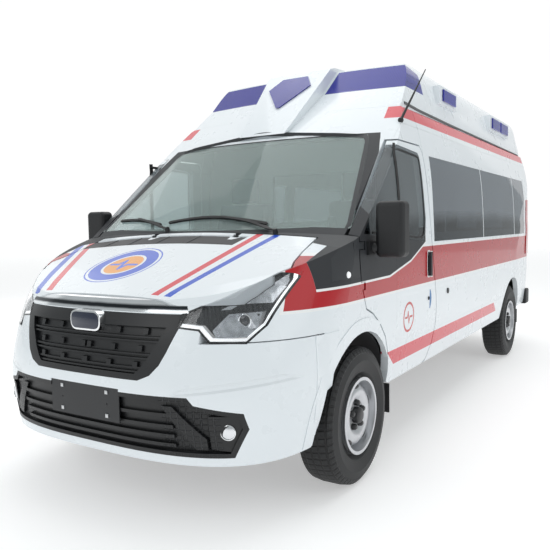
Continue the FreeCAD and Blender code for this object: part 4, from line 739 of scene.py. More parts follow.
class Skin:
    """Outer surface of some frame nodes, on which trim is laid."""

    def __init__(self, *nodes: str) -> None:
        """Gather the nodes' triangles in one search tree."""
        points: list[Vector] = []
        faces: list[tuple[int, ...]] = []
        for name in nodes:
            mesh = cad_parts[name].data
            base = len(points)
            points += [v.co.copy() for v in mesh.vertices]
            faces += [tuple(base + i for i in p.vertices) for p in mesh.polygons]
        self.tree = BVHTree.FromPolygons(points, faces)

    def hit(self, plane: Plane, point: Flat) -> Optional[tuple[Vector, Vector]]:
        """Find the surface at a flat point.

        Args:
            plane: the view.
            point: coordinates in the view.

        Returns:
            The place and its outward normal, or None beside the nodes.
        """
        found = self.tree.ray_cast(plane.lift(point, plane.start), plane.inward)
        if found[0] is None:
            return None
        normal = found[1]
        return found[0], (-normal if normal.dot(plane.inward) > 0 else normal)

    def lay(self, verts: Iterable[bmesh.types.BMVert], plane: Plane, rise: float) -> None:
        """Move vertices onto the surface, and those beside it level with their nearest neighbour.

        Args:
            verts: the vertices, drawn flat in the view.
            plane: the view.
            rise: distance kept from the surface.
        """
        missed = []
        depths = []
        for vert in verts:
            flat = plane.flatten(vert.co)
            found = self.hit(plane, flat)
            if found is None:
                missed.append((vert, flat))
                continue
            place, normal = found
            vert.co = place + normal * rise
            depths.append((flat, place.dot(plane.inward)))
        for vert, flat in missed:
            near = min(depths, key=lambda d: (d[0][0] - flat[0]) ** 2 + (d[0][1] - flat[1]) ** 2)
            vert.co = plane.lift(flat, near[1] * plane.value[1]) - plane.inward * rise


class Form:
    """A mesh in the making."""

    def __init__(self) -> None:
        """Start empty."""
        self.bm = bmesh.new()

    def box(self, low: Sequence[float], high: Sequence[float], bevel: float) -> "Form":
        """Add a box with rounded edges between its lowest and highest corners."""
        made = bmesh.ops.create_cube(self.bm, size=1.0)["verts"]
        bmesh.ops.scale(self.bm, vec=[b - a for a, b in zip(low, high)], verts=made)
        bmesh.ops.translate(self.bm, vec=[(a + b) / 2 for a, b in zip(low, high)], verts=made)
        self._bevel(made, bevel)
        return self

    def _bevel(self, verts: Sequence[bmesh.types.BMVert], width: float) -> None:
        """Round the edges that meet at some vertices."""
        edges = list({edge for vert in verts for edge in vert.link_edges})
        bmesh.ops.bevel(self.bm, geom=edges, offset=width, offset_type="OFFSET", segments=2, profile=0.5,
                        affect="EDGES", clamp_overlap=True, material=-1)

    def rod(self, start: Sequence[float], end: Sequence[float], radius: float,
            tip: Optional[float] = None) -> "Form":
        """Add a round bar or cone between two points."""
        a, b = Vector(start), Vector(end)
        turn = (b - a).to_track_quat("Z", "Y").to_matrix().to_4x4()
        bmesh.ops.create_cone(self.bm, cap_ends=True, cap_tris=False, segments=24, radius1=radius,
                              radius2=radius if tip is None else tip, depth=(b - a).length,
                              matrix=Matrix.Translation((a + b) / 2) @ turn)
        return self

    def ball(self, size: Sequence[float], rings: int) -> "Form":
        """Add a stretched ball at the origin."""
        bmesh.ops.create_uvsphere(self.bm, u_segments=rings * 2, v_segments=rings, radius=1.0,
                                  matrix=Matrix.Diagonal((*size, 1.0)))
        return self

    def slab(self, points: Sequence[Flat], plane: Plane, near: float, far: float, bevel: float) -> "Form":
        """Add an outline drawn out between two depths, with rounded edges."""
        verts = [self.bm.verts.new(plane.lift(p, near)) for p in points]
        face = self.bm.faces.new(verts)
        grown = bmesh.ops.extrude_face_region(self.bm, geom=[face])["geom"]
        moved = [g for g in grown if isinstance(g, bmesh.types.BMVert)]
        bmesh.ops.translate(self.bm, vec=plane.lift((0, 0), far - near), verts=moved)
        self._bevel(verts + moved, bevel)
        return self

    def turned(self, outline: Sequence[Flat], middle: Sequence[float], axis: Sequence[float],
               steps: int = 48) -> "Form":
        """Add a shape turned about an axis from (radius, along) points."""
        way = Vector(axis).normalized()
        side = way.orthogonal().normalized()
        verts = [self.bm.verts.new(Vector(middle) + side * r + way * t) for r, t in outline]
        edges = [self.bm.edges.new(pair) for pair in zip(verts, verts[1:])]
        bmesh.ops.spin(self.bm, geom=verts + edges, cent=middle, axis=way, angle=math.tau, steps=steps,
                       use_merge=True, dvec=(0, 0, 0))
        return self

    def strip(self, path: Sequence[Flat], plane: Plane, skin: Skin, width: float, rise: float, thick: float,
              closed: bool = False, spacing: float = 0.03, rows: int = 1) -> "Form":
        """Add a flat strip that follows the body.

        Args:
            path: middle line in the view.
            plane: the view.
            skin: surface it lies on.
            width: width of the strip.
            rise: height of its top above the surface.
            thick: its thickness.
            closed: whether the path is a loop.
            spacing: longest step along the path.
            rows: cells across the strip.

        Returns:
            The form itself.
        """
        line = resample(path, spacing, closed)
        count = len(line)
        cells = count if closed else count - 1
        made = bmesh.ops.create_grid(self.bm, x_segments=cells, y_segments=rows, size=0.5)["verts"]
        sides = []
        for i in range(count):
            before = Vector(line[i - 1] if closed or i else line[i])
            after = Vector(line[(i + 1) % count] if closed or i < count - 1 else line[i])
            way = (after - before).normalized()
            sides.append(Vector((-way.y, way.x)))
        for vert in made:
            column = round((vert.co.x + 0.5) * cells) % count
            spot = Vector(line[column]) + sides[column] * (vert.co.y * width)
            vert.co = plane.lift((spot.x, spot.y))
        skin.lay(made, plane, rise)
        bmesh.ops.remove_doubles(self.bm, verts=made, dist=STRIP_MERGE)
        self.thicken([v for v in made if v.is_valid], plane, thick)
        return self

    def patch(self, outline: Sequence[Flat], plane: Plane, skin: Skin, rise: float, thick: float,
              cell: float) -> "Form":
        """Add a convex patch that follows the body, of cells of a given size."""
        low = [min(p[i] for p in outline) for i in (0, 1)]
        high = [max(p[i] for p in outline) for i in (0, 1)]
        counts = [max(1, math.ceil((b - a) / cell)) for a, b in zip(low, high)]
        piece = bmesh.new()
        made = bmesh.ops.create_grid(piece, x_segments=counts[0], y_segments=counts[1], size=0.5)["verts"]
        for vert in made:
            flat = [low[i] + (vert.co[i] + 0.5) * (high[i] - low[i]) for i in (0, 1)]
            vert.co = Vector((flat[0], flat[1], 0.0))
        turn = turning(outline)
        for a, b in loop(outline):
            way = Vector((b[0] - a[0], b[1] - a[1], 0))
            out = Vector((way.y, -way.x, 0)) * turn
            bmesh.ops.bisect_plane(piece, geom=piece.verts[:] + piece.edges[:] + piece.faces[:], dist=1e-6,
                                   plane_co=(a[0], a[1], 0), plane_no=out, clear_outer=True)
        for vert in piece.verts:
            vert.co = plane.lift((vert.co.x, vert.co.y))
        known = set(self.bm.verts)
        self._take(piece)
        fresh = [v for v in self.bm.verts if v not in known]
        skin.lay(fresh, plane, rise)
        self.thicken(fresh, plane, thick)
        return self

    def thicken(self, verts: Sequence[bmesh.types.BMVert], plane: Plane, thick: float) -> None:
        """Give a laid surface a thickness towards the body."""
        faces = list({face for vert in verts for face in vert.link_faces})
        bmesh.ops.recalc_face_normals(self.bm, faces=faces)
        mean = sum((face.normal for face in faces), Vector())
        if mean.dot(plane.inward) > 0:
            bmesh.ops.reverse_faces(self.bm, faces=faces)
        bmesh.ops.solidify(self.bm, geom=faces, thickness=thick)

    def _take(self, other: bmesh.types.BMesh) -> None:
        """Add another mesh's faces and free it."""
        mesh = bpy.data.meshes.new("part")
        other.to_mesh(mesh)
        other.free()
        self.bm.from_mesh(mesh)
        bpy.data.meshes.remove(mesh)

    def join(self, other: "Form") -> "Form":
        """Add another form's faces."""
        self._take(other.bm)
        return self

    def twin(self) -> "Form":
        """Copy the form."""
        copy = Form()
        copy.bm.free()
        copy.bm = self.bm.copy()
        return copy

    def mirror(self) -> "Form":
        """Add the image on the other side of the middle plane."""
        geom = self.bm.verts[:] + self.bm.edges[:] + self.bm.faces[:]
        bmesh.ops.mirror(self.bm, geom=geom, merge_dist=-1.0, axis="X")
        return self

    def flip(self, side: int = -1) -> "Form":
        """Move the shape to the other side of the middle plane, if its side is -1."""
        if side < 0:
            bmesh.ops.scale(self.bm, vec=(-1, 1, 1), verts=self.bm.verts)
        return self

    def move(self, matrix: Matrix) -> "Form":
        """Place the shape."""
        bmesh.ops.transform(self.bm, matrix=matrix, verts=self.bm.verts)
        return self

    def cushion(self, middle: Sequence[float], half: Sequence[float], round_off: float, crown: float,
                facing: int) -> "Form":
        """Make the form a crowned cushion whose sides pull in between its corners.

        Args:
            middle: its middle.
            half: half its size along each axis.
            round_off: radius of its edges.
            crown: how far its faces bulge.
            facing: number of the axis that it bulges along.

        Returns:
            The form itself.
        """
        bmesh.ops.create_cube(self.bm, size=2.0)
        bmesh.ops.subdivide_edges(self.bm, edges=self.bm.edges[:], cuts=13, use_grid_fill=True)
        flat = [i for i in range(3) if i != facing]
        for vert in self.bm.verts:
            unit = vert.co.copy()
            spot = Vector(unit[i] * half[i] for i in range(3))
            core = Vector(max(-half[i] + round_off, min(half[i] - round_off, spot[i])) for i in range(3))
            if (spot - core).length > 1e-6:
                spot = core + (spot - core).normalized() * round_off
            dome = (1 - unit[flat[0]] ** 4) * (1 - unit[flat[1]] ** 4)
            spot[facing] += crown * dome * unit[facing]
            for i, j in (flat, flat[::-1]):
                spot[i] -= crown * 0.5 * unit[i] ** 3 * (1 - unit[j] ** 2)
            vert.co = Vector(middle) + spot
        return self

    def keep(self, name: str, finish: Look, body: str = "vehicle_body") -> bpy.types.Object:
        """Turn the form into a finished piece.

        Args:
            name: the piece's name.
            finish: what it is made of.
            body: the body it rides on.

        Returns:
            The new object.
        """
        bmesh.ops.remove_doubles(self.bm, verts=self.bm.verts, dist=MERGE)
        bmesh.ops.recalc_face_normals(self.bm, faces=self.bm.faces)
        for face in self.bm.faces:
            face.smooth = True
        for edge in self.bm.edges:
            if len(edge.link_faces) == 2 and edge.calc_face_angle(0.0) > SHARP_EDGE:
                edge.smooth = False
        mesh = bpy.data.meshes.new(name)
        self.bm.to_mesh(mesh)
        self.bm.free()
        piece = bpy.data.objects.new(name, mesh)
        bpy.context.scene.collection.objects.link(piece)
        mesh.materials.append(finish.material())
        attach(piece, body)
        log.info("%s: %d faces", name, len(mesh.polygons))
        return piece


def coat(node: str, finish: Look) -> None:
    """Give a frame node its finish."""
    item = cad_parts[node]
    item.data.materials.clear()
    item.data.materials.append(finish.material())


class Shell:
    """Finishes of the frame's own pieces."""

    paired = {
        "front_door": PAINT, "side_wall": PAINT, "rear_door": PAINT, "fender": PAINT,
        "door_glass": DOOR_GLASS, "rear_glass": SIDE_GLASS, "mirror": BLACK, "knuckle": CAST}
    single = {
        "sliding_door": PAINT, "front_bumper": PAINT, "roof_cap": PAINT, "windscreen_frame": FRAME_PAINT,
        "hood": HOOD_PAINT, "side_glass": SIDE_GLASS, "windscreen": SCREEN_GLASS, "cowl": PILLAR,
        "grille": SATIN_BLACK, "grille_strip": STRIP_CHROME, "lower_grille": Honeycomb(),
        "headlamps": LampHousing(), "number_plate": PLATE, "roof_lamps": BlueLens(), "aerial": BLACK,
        "floor_frame": UNDER, "front_arch_liners": UNDER, "dashboard": DASH, "partition": CABIN,
        "cab_seats": DASH, "steering_wheel": DASH, "engine_block": CAST, "front_suspension": UNDER,
        "rear_axle": UNDER, "leaf_springs": STEEL, "fuel_tank": UNDER, "exhaust": STEEL, "rear_step": BLACK,
        "tail_lamps": TAIL_RED, "mud_flaps": RUBBER}

    def build(self) -> None:
        """Give every frame node its finish."""
        for node, finish in self.single.items():
            coat(node, finish)
        for node, finish in self.paired.items():
            for _, name in SIDES:
                coat(f"{node}_{name}", finish)
        for corner in CORNERS:
            end = corner.name.split("_")[0]
            coat("tyre_" + corner.name, TyreRubber("tyre_rubber_" + end, (corner.half_track, corner.axle)))
            coat("rim_" + corner.name, RIM)


@dataclass
class FrontFace:
    """Badge, lamp covers, projectors, fog lamps, plate clips and hood vent."""

    badge: Flat = (0.0, 0.941)
    badge_half: Flat = (0.100, 0.048)
    badge_ends: float = 0.95
    badge_foot: float = 0.030
    badge_layers: tuple[tuple[str, float, float, Look], ...] = (
        ("badge_ring", 0.0, 0.030, CHROME), ("badge_plate", -0.009, 0.034, BADGE_BLUE))
    projector: Flat = (0.742, 0.952)
    projector_aim: Triple = (0.36, -1.0, 0.0)
    projector_ring: Outline = (
        (0.024, 0.001), (0.024, 0.004), (0.028, 0.007), (0.033, 0.004), (0.033, 0.001), (0.024, 0.001))
    projector_lens: Outline = ((0, 0.007), (0.012, 0.006), (0.020, 0.0035), (0.024, 0.0), (0, 0.0))
    fog: Flat = (0.724, 0.478)
    fog_aim: Triple = (0.42, -1.0, 0.0)
    fog_ring: Outline = ((0.030, 0.0), (0.031, 0.006), (0.035, 0.004), (0.036, 0.0), (0.030, 0.0))
    fog_lens: Outline = ((0, 0.006), (0.018, 0.005), (0.030, 0.002), (0.030, 0.0), (0, 0.0))
    cover_thick: float = 0.0025
    cover_cell: float = 0.03
    plate_height: float = 0.565
    clip_spread: Flat = (0.15, 0.055)
    clip_half: float = 0.009
    clip_depths: Flat = (-2.886, -2.8815)
    vent: Outline = ((-0.794, -2.159), (0.356, -2.159), (0.38, -2.051), (-0.794, -2.051))
    rib_places: tuple[float, ...] = (-0.62, -0.42, -0.20, 0.03)
    rib_ends: Flat = (-2.157, -2.053)
    rib_lean: float = 0.03

    def build(self) -> None:
        """Build every piece of the front."""
        self._badge()
        self._lamps()
        self._plate()
        self._vent()

    def _badge(self) -> None:
        """Plain dark badge with rounded ends and a bright ring."""
        front = Skin("grille_strip", "grille").hit(Plane.FRONT, (0.0, 0.955))[0].y
        for name, grow, near, finish in self.badge_layers:
            half, rise = (size + grow for size in self.badge_half)
            corners = [(self.badge[0] + a * half, self.badge[1] + b * rise)
                       for a, b in ((1, 1), (-1, 1), (-1, -1), (1, -1))]
            outline = soften(corners, rise * self.badge_ends, steps=10)
            form = Form().slab(outline, Plane.FRONT, front - near, front + self.badge_foot, bevel=0.003)
            form.keep(name, finish)

    def _lamps(self) -> None:
        """Headlamp covers and projectors, and the fog lamps."""
        skin = Skin("headlamps")
        place = skin.hit(Plane.FRONT, self.projector)[0]
        spot = Skin("lower_grille").hit(Plane.FRONT, self.fog)[0]
        parts = (
            (self.projector_ring, place, self.projector_aim, "projector_ring_", CHROME),
            (self.projector_lens, place, self.projector_aim, "projector_lens_", LENS_DARK),
            (self.fog_ring, spot, self.fog_aim, "fog_ring_", CHROME),
            (self.fog_lens, spot, self.fog_aim, "fog_lens_", REFLECTOR))
        for side, name in SIDES:
            for outline, middle, aim, label, finish in parts:
                Form().turned(outline, middle, aim).flip(side).keep(label + name, finish)
            self._cover(skin).flip(side).keep("headlamp_cover_" + name, CLEAR)

    def _cover(self, skin: Skin) -> Form:
        """Make a clear cover that bridges the sunk headlamp from its rim.

        Args:
            skin: the lamp's surface.

        Returns:
            The form.
        """
        rim = []
        for point in resample(shrink(LAMP_OUTLINE, 0.004), 0.008, True):
            found = skin.hit(Plane.FRONT, point)
            if found:
                rim.append((point, found[0].y))
        middle = sum((Vector(p) for p, _ in rim), Vector((0, 0))) / len(rim)

        def terms(across: float, up: float) -> list[float]:
            u, v = across - middle.x, up - middle.y
            return [1, u, v, u * u, u * v, v * v, u ** 3, u * u * v]

        weights = numpy.linalg.lstsq(
            numpy.array([terms(*p) for p, _ in rim]), numpy.array([d for _, d in rim]), rcond=None)[0]
        form = Form()
        corners = resample(shrink(LAMP_OUTLINE, 0.003), self.cover_cell, True)
        form.bm.faces.new([form.bm.verts.new(Plane.FRONT.lift(p)) for p in corners])
        bmesh.ops.triangulate(form.bm, faces=form.bm.faces[:])
        for _ in range(2):
            long = [e for e in form.bm.edges if e.calc_length() > self.cover_cell * 1.5]
            bmesh.ops.subdivide_edges(form.bm, edges=long, cuts=1)
            bmesh.ops.triangulate(form.bm, faces=form.bm.faces[:])
        for vert in form.bm.verts:
            vert.co.y = float(numpy.dot(weights, terms(vert.co.x, vert.co.z)))
        form.thicken(form.bm.verts[:], Plane.FRONT, self.cover_thick)
        return form

    def _plate(self) -> None:
        """Pale clips on the blank plate."""
        form = Form()
        near, far = self.clip_depths
        half = self.clip_half
        for up in (1, -1):
            for side in (-1, 1):
                x, z = side * self.clip_spread[0], self.plate_height + up * self.clip_spread[1]
                form.box((x - half, near, z - half), (x + half, far, z + half), bevel=0.001)
        form.keep("plate_clips", SILVER)

    def _vent(self) -> None:
        """Dark vent grille in the hood's sunk strip."""
        skin = Skin("hood")
        mesh = Form().patch(self.vent, Plane.TOP, skin, rise=0.002, thick=0.0015, cell=0.04)
        mesh.keep("hood_vent", VENT_MESH, "hood_body")
        ribs = Form()
        for across in self.rib_places:
            path = [(across, self.rib_ends[0]), (across + self.rib_lean, self.rib_ends[1])]
            ribs.strip(path, Plane.TOP, skin, width=0.006, rise=0.0045, thick=0.002)
        ribs.keep("hood_vent_ribs", GUTTER, "hood_body")


@dataclass
class Wipers:
    """Two wipers resting on the windscreen."""

    blades: tuple[Outline, ...] = (
        ((-0.270, -1.930), (0.038, -1.905), (0.440, -1.935)),
        ((-0.774, -1.833), (-0.56, -1.872), (-0.336, -1.938)))
    arms: tuple[Outline, ...] = (
        ((0.116, -1.915), (0.33, -1.935), (0.521, -1.985)),
        ((-0.582, -1.867), (-0.42, -1.92), (-0.245, -1.985)))

    def build(self) -> None:
        """Build blades, arms and pivots."""
        skin = Skin("windscreen", "cowl", "windscreen_frame")
        blades, arms, pivots = Form(), Form(), Form()
        for path in self.blades:
            curve = soften(path, 0.2, steps=5, closed=False)
            blades.strip(curve, Plane.TOP, skin, width=0.013, rise=0.014, thick=0.012, spacing=0.05)
        for path in self.arms:
            curve = soften(path, 0.1, steps=5, closed=False)
            arms.strip(curve, Plane.TOP, skin, width=0.012, rise=0.022, thick=0.006, spacing=0.05)
            place, normal = skin.hit(Plane.TOP, path[-1])
            pivots.rod(place - normal * 0.004, place + normal * 0.026, radius=0.016, tip=0.012)
        blades.keep("wiper_blades", RUBBER)
        arms.keep("wiper_arms", BLACK)
        pivots.keep("wiper_pivots", BLACK)


@dataclass
class Edges:
    """Window surrounds, gutters, window bars and small side fittings."""

    screen: Outline = (
        (0.0, 1.998), (0.735, 1.924), (0.765, 1.885), (0.913, 1.362), (0.885, 1.303), (0.0, 1.303))
    screen_inset: float = 0.013
    gutter: Outline = ((-0.875, 2.158), (-0.60, 2.146), (0.15, 2.138), (2.72, 2.128))
    bumper_corner: Outline = (
        (-2.345, 0.38), (-2.310, 0.38), (-2.262, 0.52), (-2.215, 0.66), (-2.180, 0.76), (-2.160, 0.860),
        (-2.345, 0.860))
    lip_radius: float = 0.482
    lip_angles: tuple[int, ...] = tuple(range(184, 58, -6))
    window_bar: Outline = ((-1.352, 1.842), (-1.318, 1.300))
    window_seal: Outline = (
        (-1.74, 1.325), (-0.945, 1.281), (-0.905, 1.31), (-0.888, 1.40), (-0.922, 1.782), (-0.94, 1.797),
        (-1.36, 1.818))
    lock: Flat = (-0.826, 0.878)
    sticker: Outline = (
        (-0.800, 0.935), (-0.785, 0.930), (-0.770, 0.90), (-0.768, 0.87), (-0.775, 0.835), (-0.792, 0.808),
        (-0.800, 0.806))
    socket: Flat = (-0.399, 0.888)
    screw: Flat = (-2.049, 1.121)

    def build(self) -> None:
        """Build every edge piece."""
        self._screen()
        self._gutter()
        self._lips()
        self._door()
        self._fittings()

    def _screen(self) -> None:
        """Dark border of the windscreen."""
        whole = list(self.screen) + [(-x, z) for x, z in reversed(self.screen) if x]
        path = soften(shrink(whole, self.screen_inset), 0.05)
        form = Form().strip(path, Plane.FRONT, Skin("windscreen"), width=0.024, rise=0.0012, thick=0.001,
                            closed=True, spacing=0.04, rows=2)
        form.keep("windscreen_border", PILLAR)

    def _gutter(self) -> None:
        """Rain gutters above the side stripes."""
        skin = Skin("side_wall_left", "roof_cap", "windscreen_frame")
        path = soften(self.gutter, 0.03, steps=3, closed=False)
        form = Form().strip(path, Plane.LEFT, skin, width=0.017, rise=0.006, thick=0.010, spacing=0.12)
        form.mirror().keep("rain_gutters", GUTTER)

    def _lips(self) -> None:
        """Raised lips of the front wheel arches, joining bumper and fender."""
        skin = Skin("front_bumper", "fender_left")
        path = [(FRONT_AXLE + math.cos(math.radians(a)) * self.lip_radius,
                 AXLE_HEIGHT + math.sin(math.radians(a)) * self.lip_radius) for a in self.lip_angles]
        lips = Form().strip(path, Plane.LEFT, skin, width=0.072, rise=0.004, thick=0.008, spacing=0.05)
        lips.mirror().keep("arch_lips", PAINT)
        corners = Form().patch(self.bumper_corner, Plane.LEFT, skin, rise=0.003, thick=0.006, cell=0.04)
        corners.mirror().keep("bumper_corners", PAINT)

    def _door(self) -> None:
        """Black bar and seals of the door windows."""
        glass = Skin("door_glass_left")
        both = Skin("door_glass_left", "front_door_left")
        path = soften(self.window_seal, 0.03, steps=3, closed=False)
        bar = Form().strip(self.window_bar, Plane.LEFT, glass, 0.034, rise=0.004, thick=0.003, spacing=0.06)
        seal = Form().strip(path, Plane.LEFT, both, 0.012, rise=0.003, thick=0.003, spacing=0.06)
        for side, name in SIDES:
            for form, label in ((bar, "window_bar_"), (seal, "window_seal_")):
                form.twin().flip(side).keep(label + name, RUBBER, f"front_door_{name}_body")

    def _fittings(self) -> None:
        """Door locks, sticker, fuel socket, and screws of the corner trim."""
        skin = Skin("front_door_left", "side_wall_left", "cowl", "fender_left")
        lock = skin.hit(Plane.LEFT, self.lock)[0]
        for side, name in SIDES:
            form = Form().rod(lock, lock + Vector((0.005, 0, 0)), radius=0.012).flip(side)
            form.keep("door_lock_" + name, BLACK, f"front_door_{name}_body")
            if side > 0:
                sticker = Form().patch(self.sticker, Plane.LEFT, skin, rise=0.0012, thick=0.001, cell=0.05)
                sticker.keep("door_sticker", STICKER_BLUE, "front_door_left_body")
        socket = skin.hit(Plane.LEFT, self.socket)[0]
        Form().rod(socket, socket + Vector((0.006, 0, 0)), radius=0.020).keep("side_socket", BLACK)
        place, normal = skin.hit(Plane.LEFT, self.screw)
        screw = Form().rod(place, place + normal * 0.006, radius=0.017, tip=0.014)
        # The screws' faint glow is painted light.
        screw.mirror().keep("trim_screws", PAINTED_GLOW_WHITE)


@dataclass(frozen=True)
class Pad:
    """One crowned form of a seat, whose sizes across are shares of the seat's half width."""

    place: Triple
    half: Triple
    round_off: float
    crown: float
    facing: int


@dataclass
class Seats:
    """Cab seats with padded cushions, backs and headrests."""

    across: float = 0.48
    half_width: float = 0.232
    cushion: tuple[Pad, ...] = (
        Pad((0, -1.06, 0.897), (1, 0.238, 0.058), 0.045, 0.014, 2),
        Pad((-0.62, -1.07, 0.925), (0.22, 0.21, 0.030), 0.026, 0.006, 2),
        Pad((0.62, -1.07, 0.925), (0.22, 0.21, 0.030), 0.026, 0.006, 2))
    back: tuple[Pad, ...] = (
        Pad((0, 0.065, 0.33), (1, 0.060, 0.325), 0.045, 0.016, 1),
        Pad((-0.78, 0.020, 0.30), (0.16, 0.042, 0.24), 0.026, 0.005, 1),
        Pad((0.78, 0.020, 0.30), (0.16, 0.042, 0.24), 0.026, 0.005, 1))
    headrest: tuple[Pad, ...] = (Pad((0, -0.805, 1.640), (0.53, 0.043, 0.098), 0.036, 0.008, 1),)
    back_foot: Flat = (-0.94, 0.90)
    lean: float = 8.0
    post_spread: float = 0.06
    post_foot: Flat = (-0.812, 1.50)
    post_head: Flat = (-0.806, 1.60)
    base_half: float = 0.8
    base_low: Flat = (-1.235, 0.606)
    base_high: Flat = (-0.865, 0.845)

    def build(self) -> None:
        """Build both seats."""
        lean = Matrix.Rotation(math.radians(-self.lean), 4, "X")
        for side, name in SIDES:
            middle = side * self.across
            back = self._pads(self.back, 0.0).move(Matrix.Translation((middle, *self.back_foot)) @ lean)
            for form, label in ((self._pads(self.cushion, middle), "seat_cushion_"), (back, "seat_back_"),
                                (self._pads(self.headrest, middle), "headrest_")):
                piece = form.keep(label + name, SEAT_FABRIC)
                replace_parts(piece, "cab_seats")
            for form, label, finish in ((self._posts(middle), "headrest_posts_", CHROME),
                                        (self._base(middle), "seat_base_", DASH)):
                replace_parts(form.keep(label + name, finish), "cab_seats")

    def _pads(self, pads: Sequence[Pad], middle: float) -> Form:
        """Join some crowned forms about a seat's middle."""
        form = Form()
        for pad in pads:
            place = (middle + pad.place[0] * self.half_width, *pad.place[1:])
            half = (pad.half[0] * self.half_width, *pad.half[1:])
            form.join(Form().cushion(place, half, pad.round_off, pad.crown, pad.facing))
        return form

    def _posts(self, middle: float) -> Form:
        """Two steel posts of the headrest."""
        posts = Form()
        for offset in (-self.post_spread, self.post_spread):
            posts.rod((middle + offset, *self.post_foot), (middle + offset, *self.post_head), radius=0.006)
        return posts

    def _base(self, middle: float) -> Form:
        """Box under the seat."""
        reach = self.half_width * self.base_half
        return Form().box((middle - reach, *self.base_low), (middle + reach, *self.base_high), bevel=0.012)


@dataclass
class Wheels:
    """Domed wheel discs with dark balls of painted shade for their slots, hub caps and wheel nuts."""

    count: int = 5
    nut_circle: float = 0.066
    nut_radius: float = 0.0175
    nut_outline: Outline = ((0, 0.026), (0.55, 0.025), (0.9, 0.018), (1, 0.001), (0, 0.001))
    hub_radius: float = 0.044
    hub_outline: Outline = ((0, 0.034), (0.7, 0.034), (0.92, 0.028), (1, 0.018), (1, 0.001), (0, 0.001))
    face: float = 0.0680
    disc: Outline = (
        (0.030, 0.066), (0.080, 0.068), (0.096, 0.080), (0.116, 0.087), (0.138, 0.084), (0.156, 0.070),
        (0.170, 0.048), (0.186, 0.030))
    disc_thick: float = 0.004
    slot_circle: float = 0.150
    slot_height: float = 0.0735
    slot_size: Triple = (0.008, 0.030, 0.012)

    def build(self) -> None:
        """Dress the four wheels."""
        for corner in CORNERS:
            for form, label, finish in ((self._caps(corner), "wheel_caps_", NUT),
                                        (self._disc(corner), "wheel_disc_", RIM),
                                        (self._slots(corner), "wheel_slots_", NUT)):
                form.keep(label + corner.name, finish, "wheel_" + corner.name)

    def _around(self, middle: Vector, circle: float) -> list[tuple[float, Vector]]:
        """Angles and places of what repeats round a wheel, the first at the top."""
        angles = [math.pi / 2 + index * math.tau / self.count for index in range(self.count)]
        return [(angle, middle + Vector((0, math.cos(angle), math.sin(angle))) * circle) for angle in angles]

    def _caps(self, corner: Corner) -> Form:
        """Hub cap and nuts."""
        middle = corner.centre(self.face)
        caps = Form().turned([(r * self.hub_radius, h) for r, h in self.hub_outline], middle, corner.out)
        for _, spot in self._around(middle, self.nut_circle):
            caps.turned([(r * self.nut_radius, h) for r, h in self.nut_outline], spot, corner.out, steps=12)
        return caps

    def _disc(self, corner: Corner) -> Form:
        """Domed disc between hub and rim."""
        inner = [(r, h - self.disc_thick) for r, h in reversed(self.disc)]
        return Form().turned([*self.disc, *inner, self.disc[0]], corner.centre(), corner.out, steps=64)

    def _slots(self, corner: Corner) -> Form:
        """Dark balls of painted shade, standing for the disc's slots."""
        slots = Form()
        for angle, spot in self._around(corner.centre(self.slot_height), self.slot_circle):
            turn = Matrix.Rotation(angle + math.pi / 2, 4, "X")
            # Each dark ball is painted shade where a slot would open onto the dark inside of the wheel.
            slots.join(Form().ball(self.slot_size, rings=12).move(Matrix.Translation(spot) @ turn))
        return slots


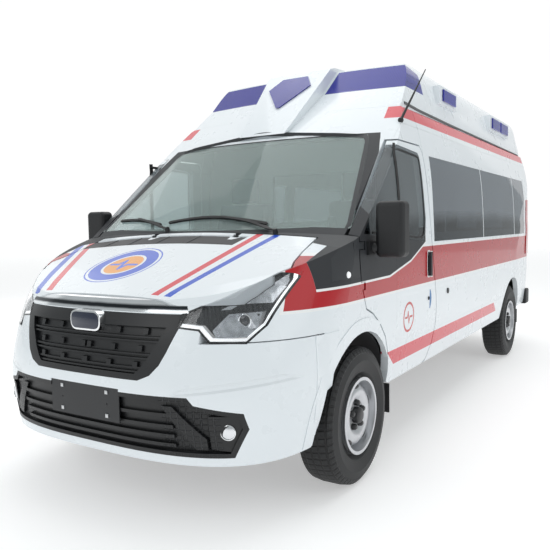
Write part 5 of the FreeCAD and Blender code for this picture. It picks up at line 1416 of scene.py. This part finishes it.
@dataclass
class Studio:
    """Floor, light and camera."""

    eye: Triple = (2.3191, -4.8849, 1.3634)
    turn: Triple = (85.6493, 0.9360, 31.8423)
    lens: float = 41.296
    sensor: float = 36.0
    floor_size: float = 60.0
    wall_place: Flat = (-17.0, 26.0)
    wall_turn: float = 33.0
    sky: Color = (0.93, 0.985, 1.0)
    sky_strength: float = 0.50
    aim: Triple = (0, 0, 0.9)
    lights: tuple[tuple[str, Triple, float, float], ...] = (
        ("top", (0.0, 0.5, 7.5), 7.0, 230.0), ("front", (-1.5, -9.0, 5.0), 5.0, 120.0),
        ("left", (8.5, -1.5, 4.5), 6.0, 110.0), ("right", (-8.0, -1.0, 4.0), 6.0, 60.0))

    def build(self) -> None:
        """Set up everything round the object."""
        self._floor()
        self._lights()
        self._camera()

    def _floor(self) -> None:
        """Pale plain floor and a white wall far behind it."""
        half = self.floor_size / 2
        turned = Matrix.Rotation(math.radians(self.wall_turn), 4, "Z")
        standing = Matrix.Rotation(math.radians(90), 4, "X")
        wall = Matrix.Translation((*self.wall_place, half - 1)) @ turned @ standing
        for name, place, shade, glow in (("studio_floor", Matrix(), 0.80, 0.40),
                                         ("studio_wall", wall, 0.0, 1.0)):
            form = bmesh.new()
            bmesh.ops.create_grid(form, x_segments=1, y_segments=1, size=half, matrix=place)
            mesh = bpy.data.meshes.new(name)
            form.to_mesh(mesh)
            form.free()
            stage = bpy.data.objects.new(name, mesh)
            bpy.context.scene.collection.objects.link(stage)
            mesh.materials.append(Graph(name).surface(
                Base_Color=(shade,) * 3, Roughness=0.9, Emission_Color=(1, 1, 1), Emission_Strength=glow))

    def _lights(self) -> None:
        """Soft light from above, the front and both sides."""
        world = bpy.data.worlds.new("studio")
        bpy.context.scene.world = world
        world.use_nodes = True
        back = next(n for n in world.node_tree.nodes if n.type == "BACKGROUND")
        back.inputs["Color"].default_value = (*self.sky, 1.0)
        back.inputs["Strength"].default_value = self.sky_strength
        for name, place, size, power in self.lights:
            light = bpy.data.lights.new(name, "AREA")
            light.energy = power
            light.size = size
            lamp = bpy.data.objects.new("light_" + name, light)
            lamp.location = place
            lamp.rotation_euler = (Vector(self.aim) - Vector(place)).to_track_quat("-Z", "Y").to_euler()
            bpy.context.scene.collection.objects.link(lamp)

    def _camera(self) -> None:
        """Camera at the photograph's place."""
        data = bpy.data.cameras.new("camera")
        data.lens = self.lens
        data.sensor_width = self.sensor
        data.clip_end = 200.0
        camera = bpy.data.objects.new("camera", data)
        camera.location = self.eye
        camera.rotation_euler = tuple(math.radians(a) for a in self.turn)
        bpy.context.scene.collection.objects.link(camera)
        bpy.context.scene.camera = camera
        bpy.context.scene.view_settings.view_transform = "Standard"


def main() -> None:
    """Build every sub-assembly in order and note the size."""
    logging.basicConfig(level=logging.INFO, format="%(name)s: %(message)s")
    for assembly in (Shell(), FrontFace(), Wipers(), Edges(), Seats(), Wheels(), Studio()):
        assembly.build()
        log.info("%s done", type(assembly).__name__)


if __name__ == "__main__":
    main()
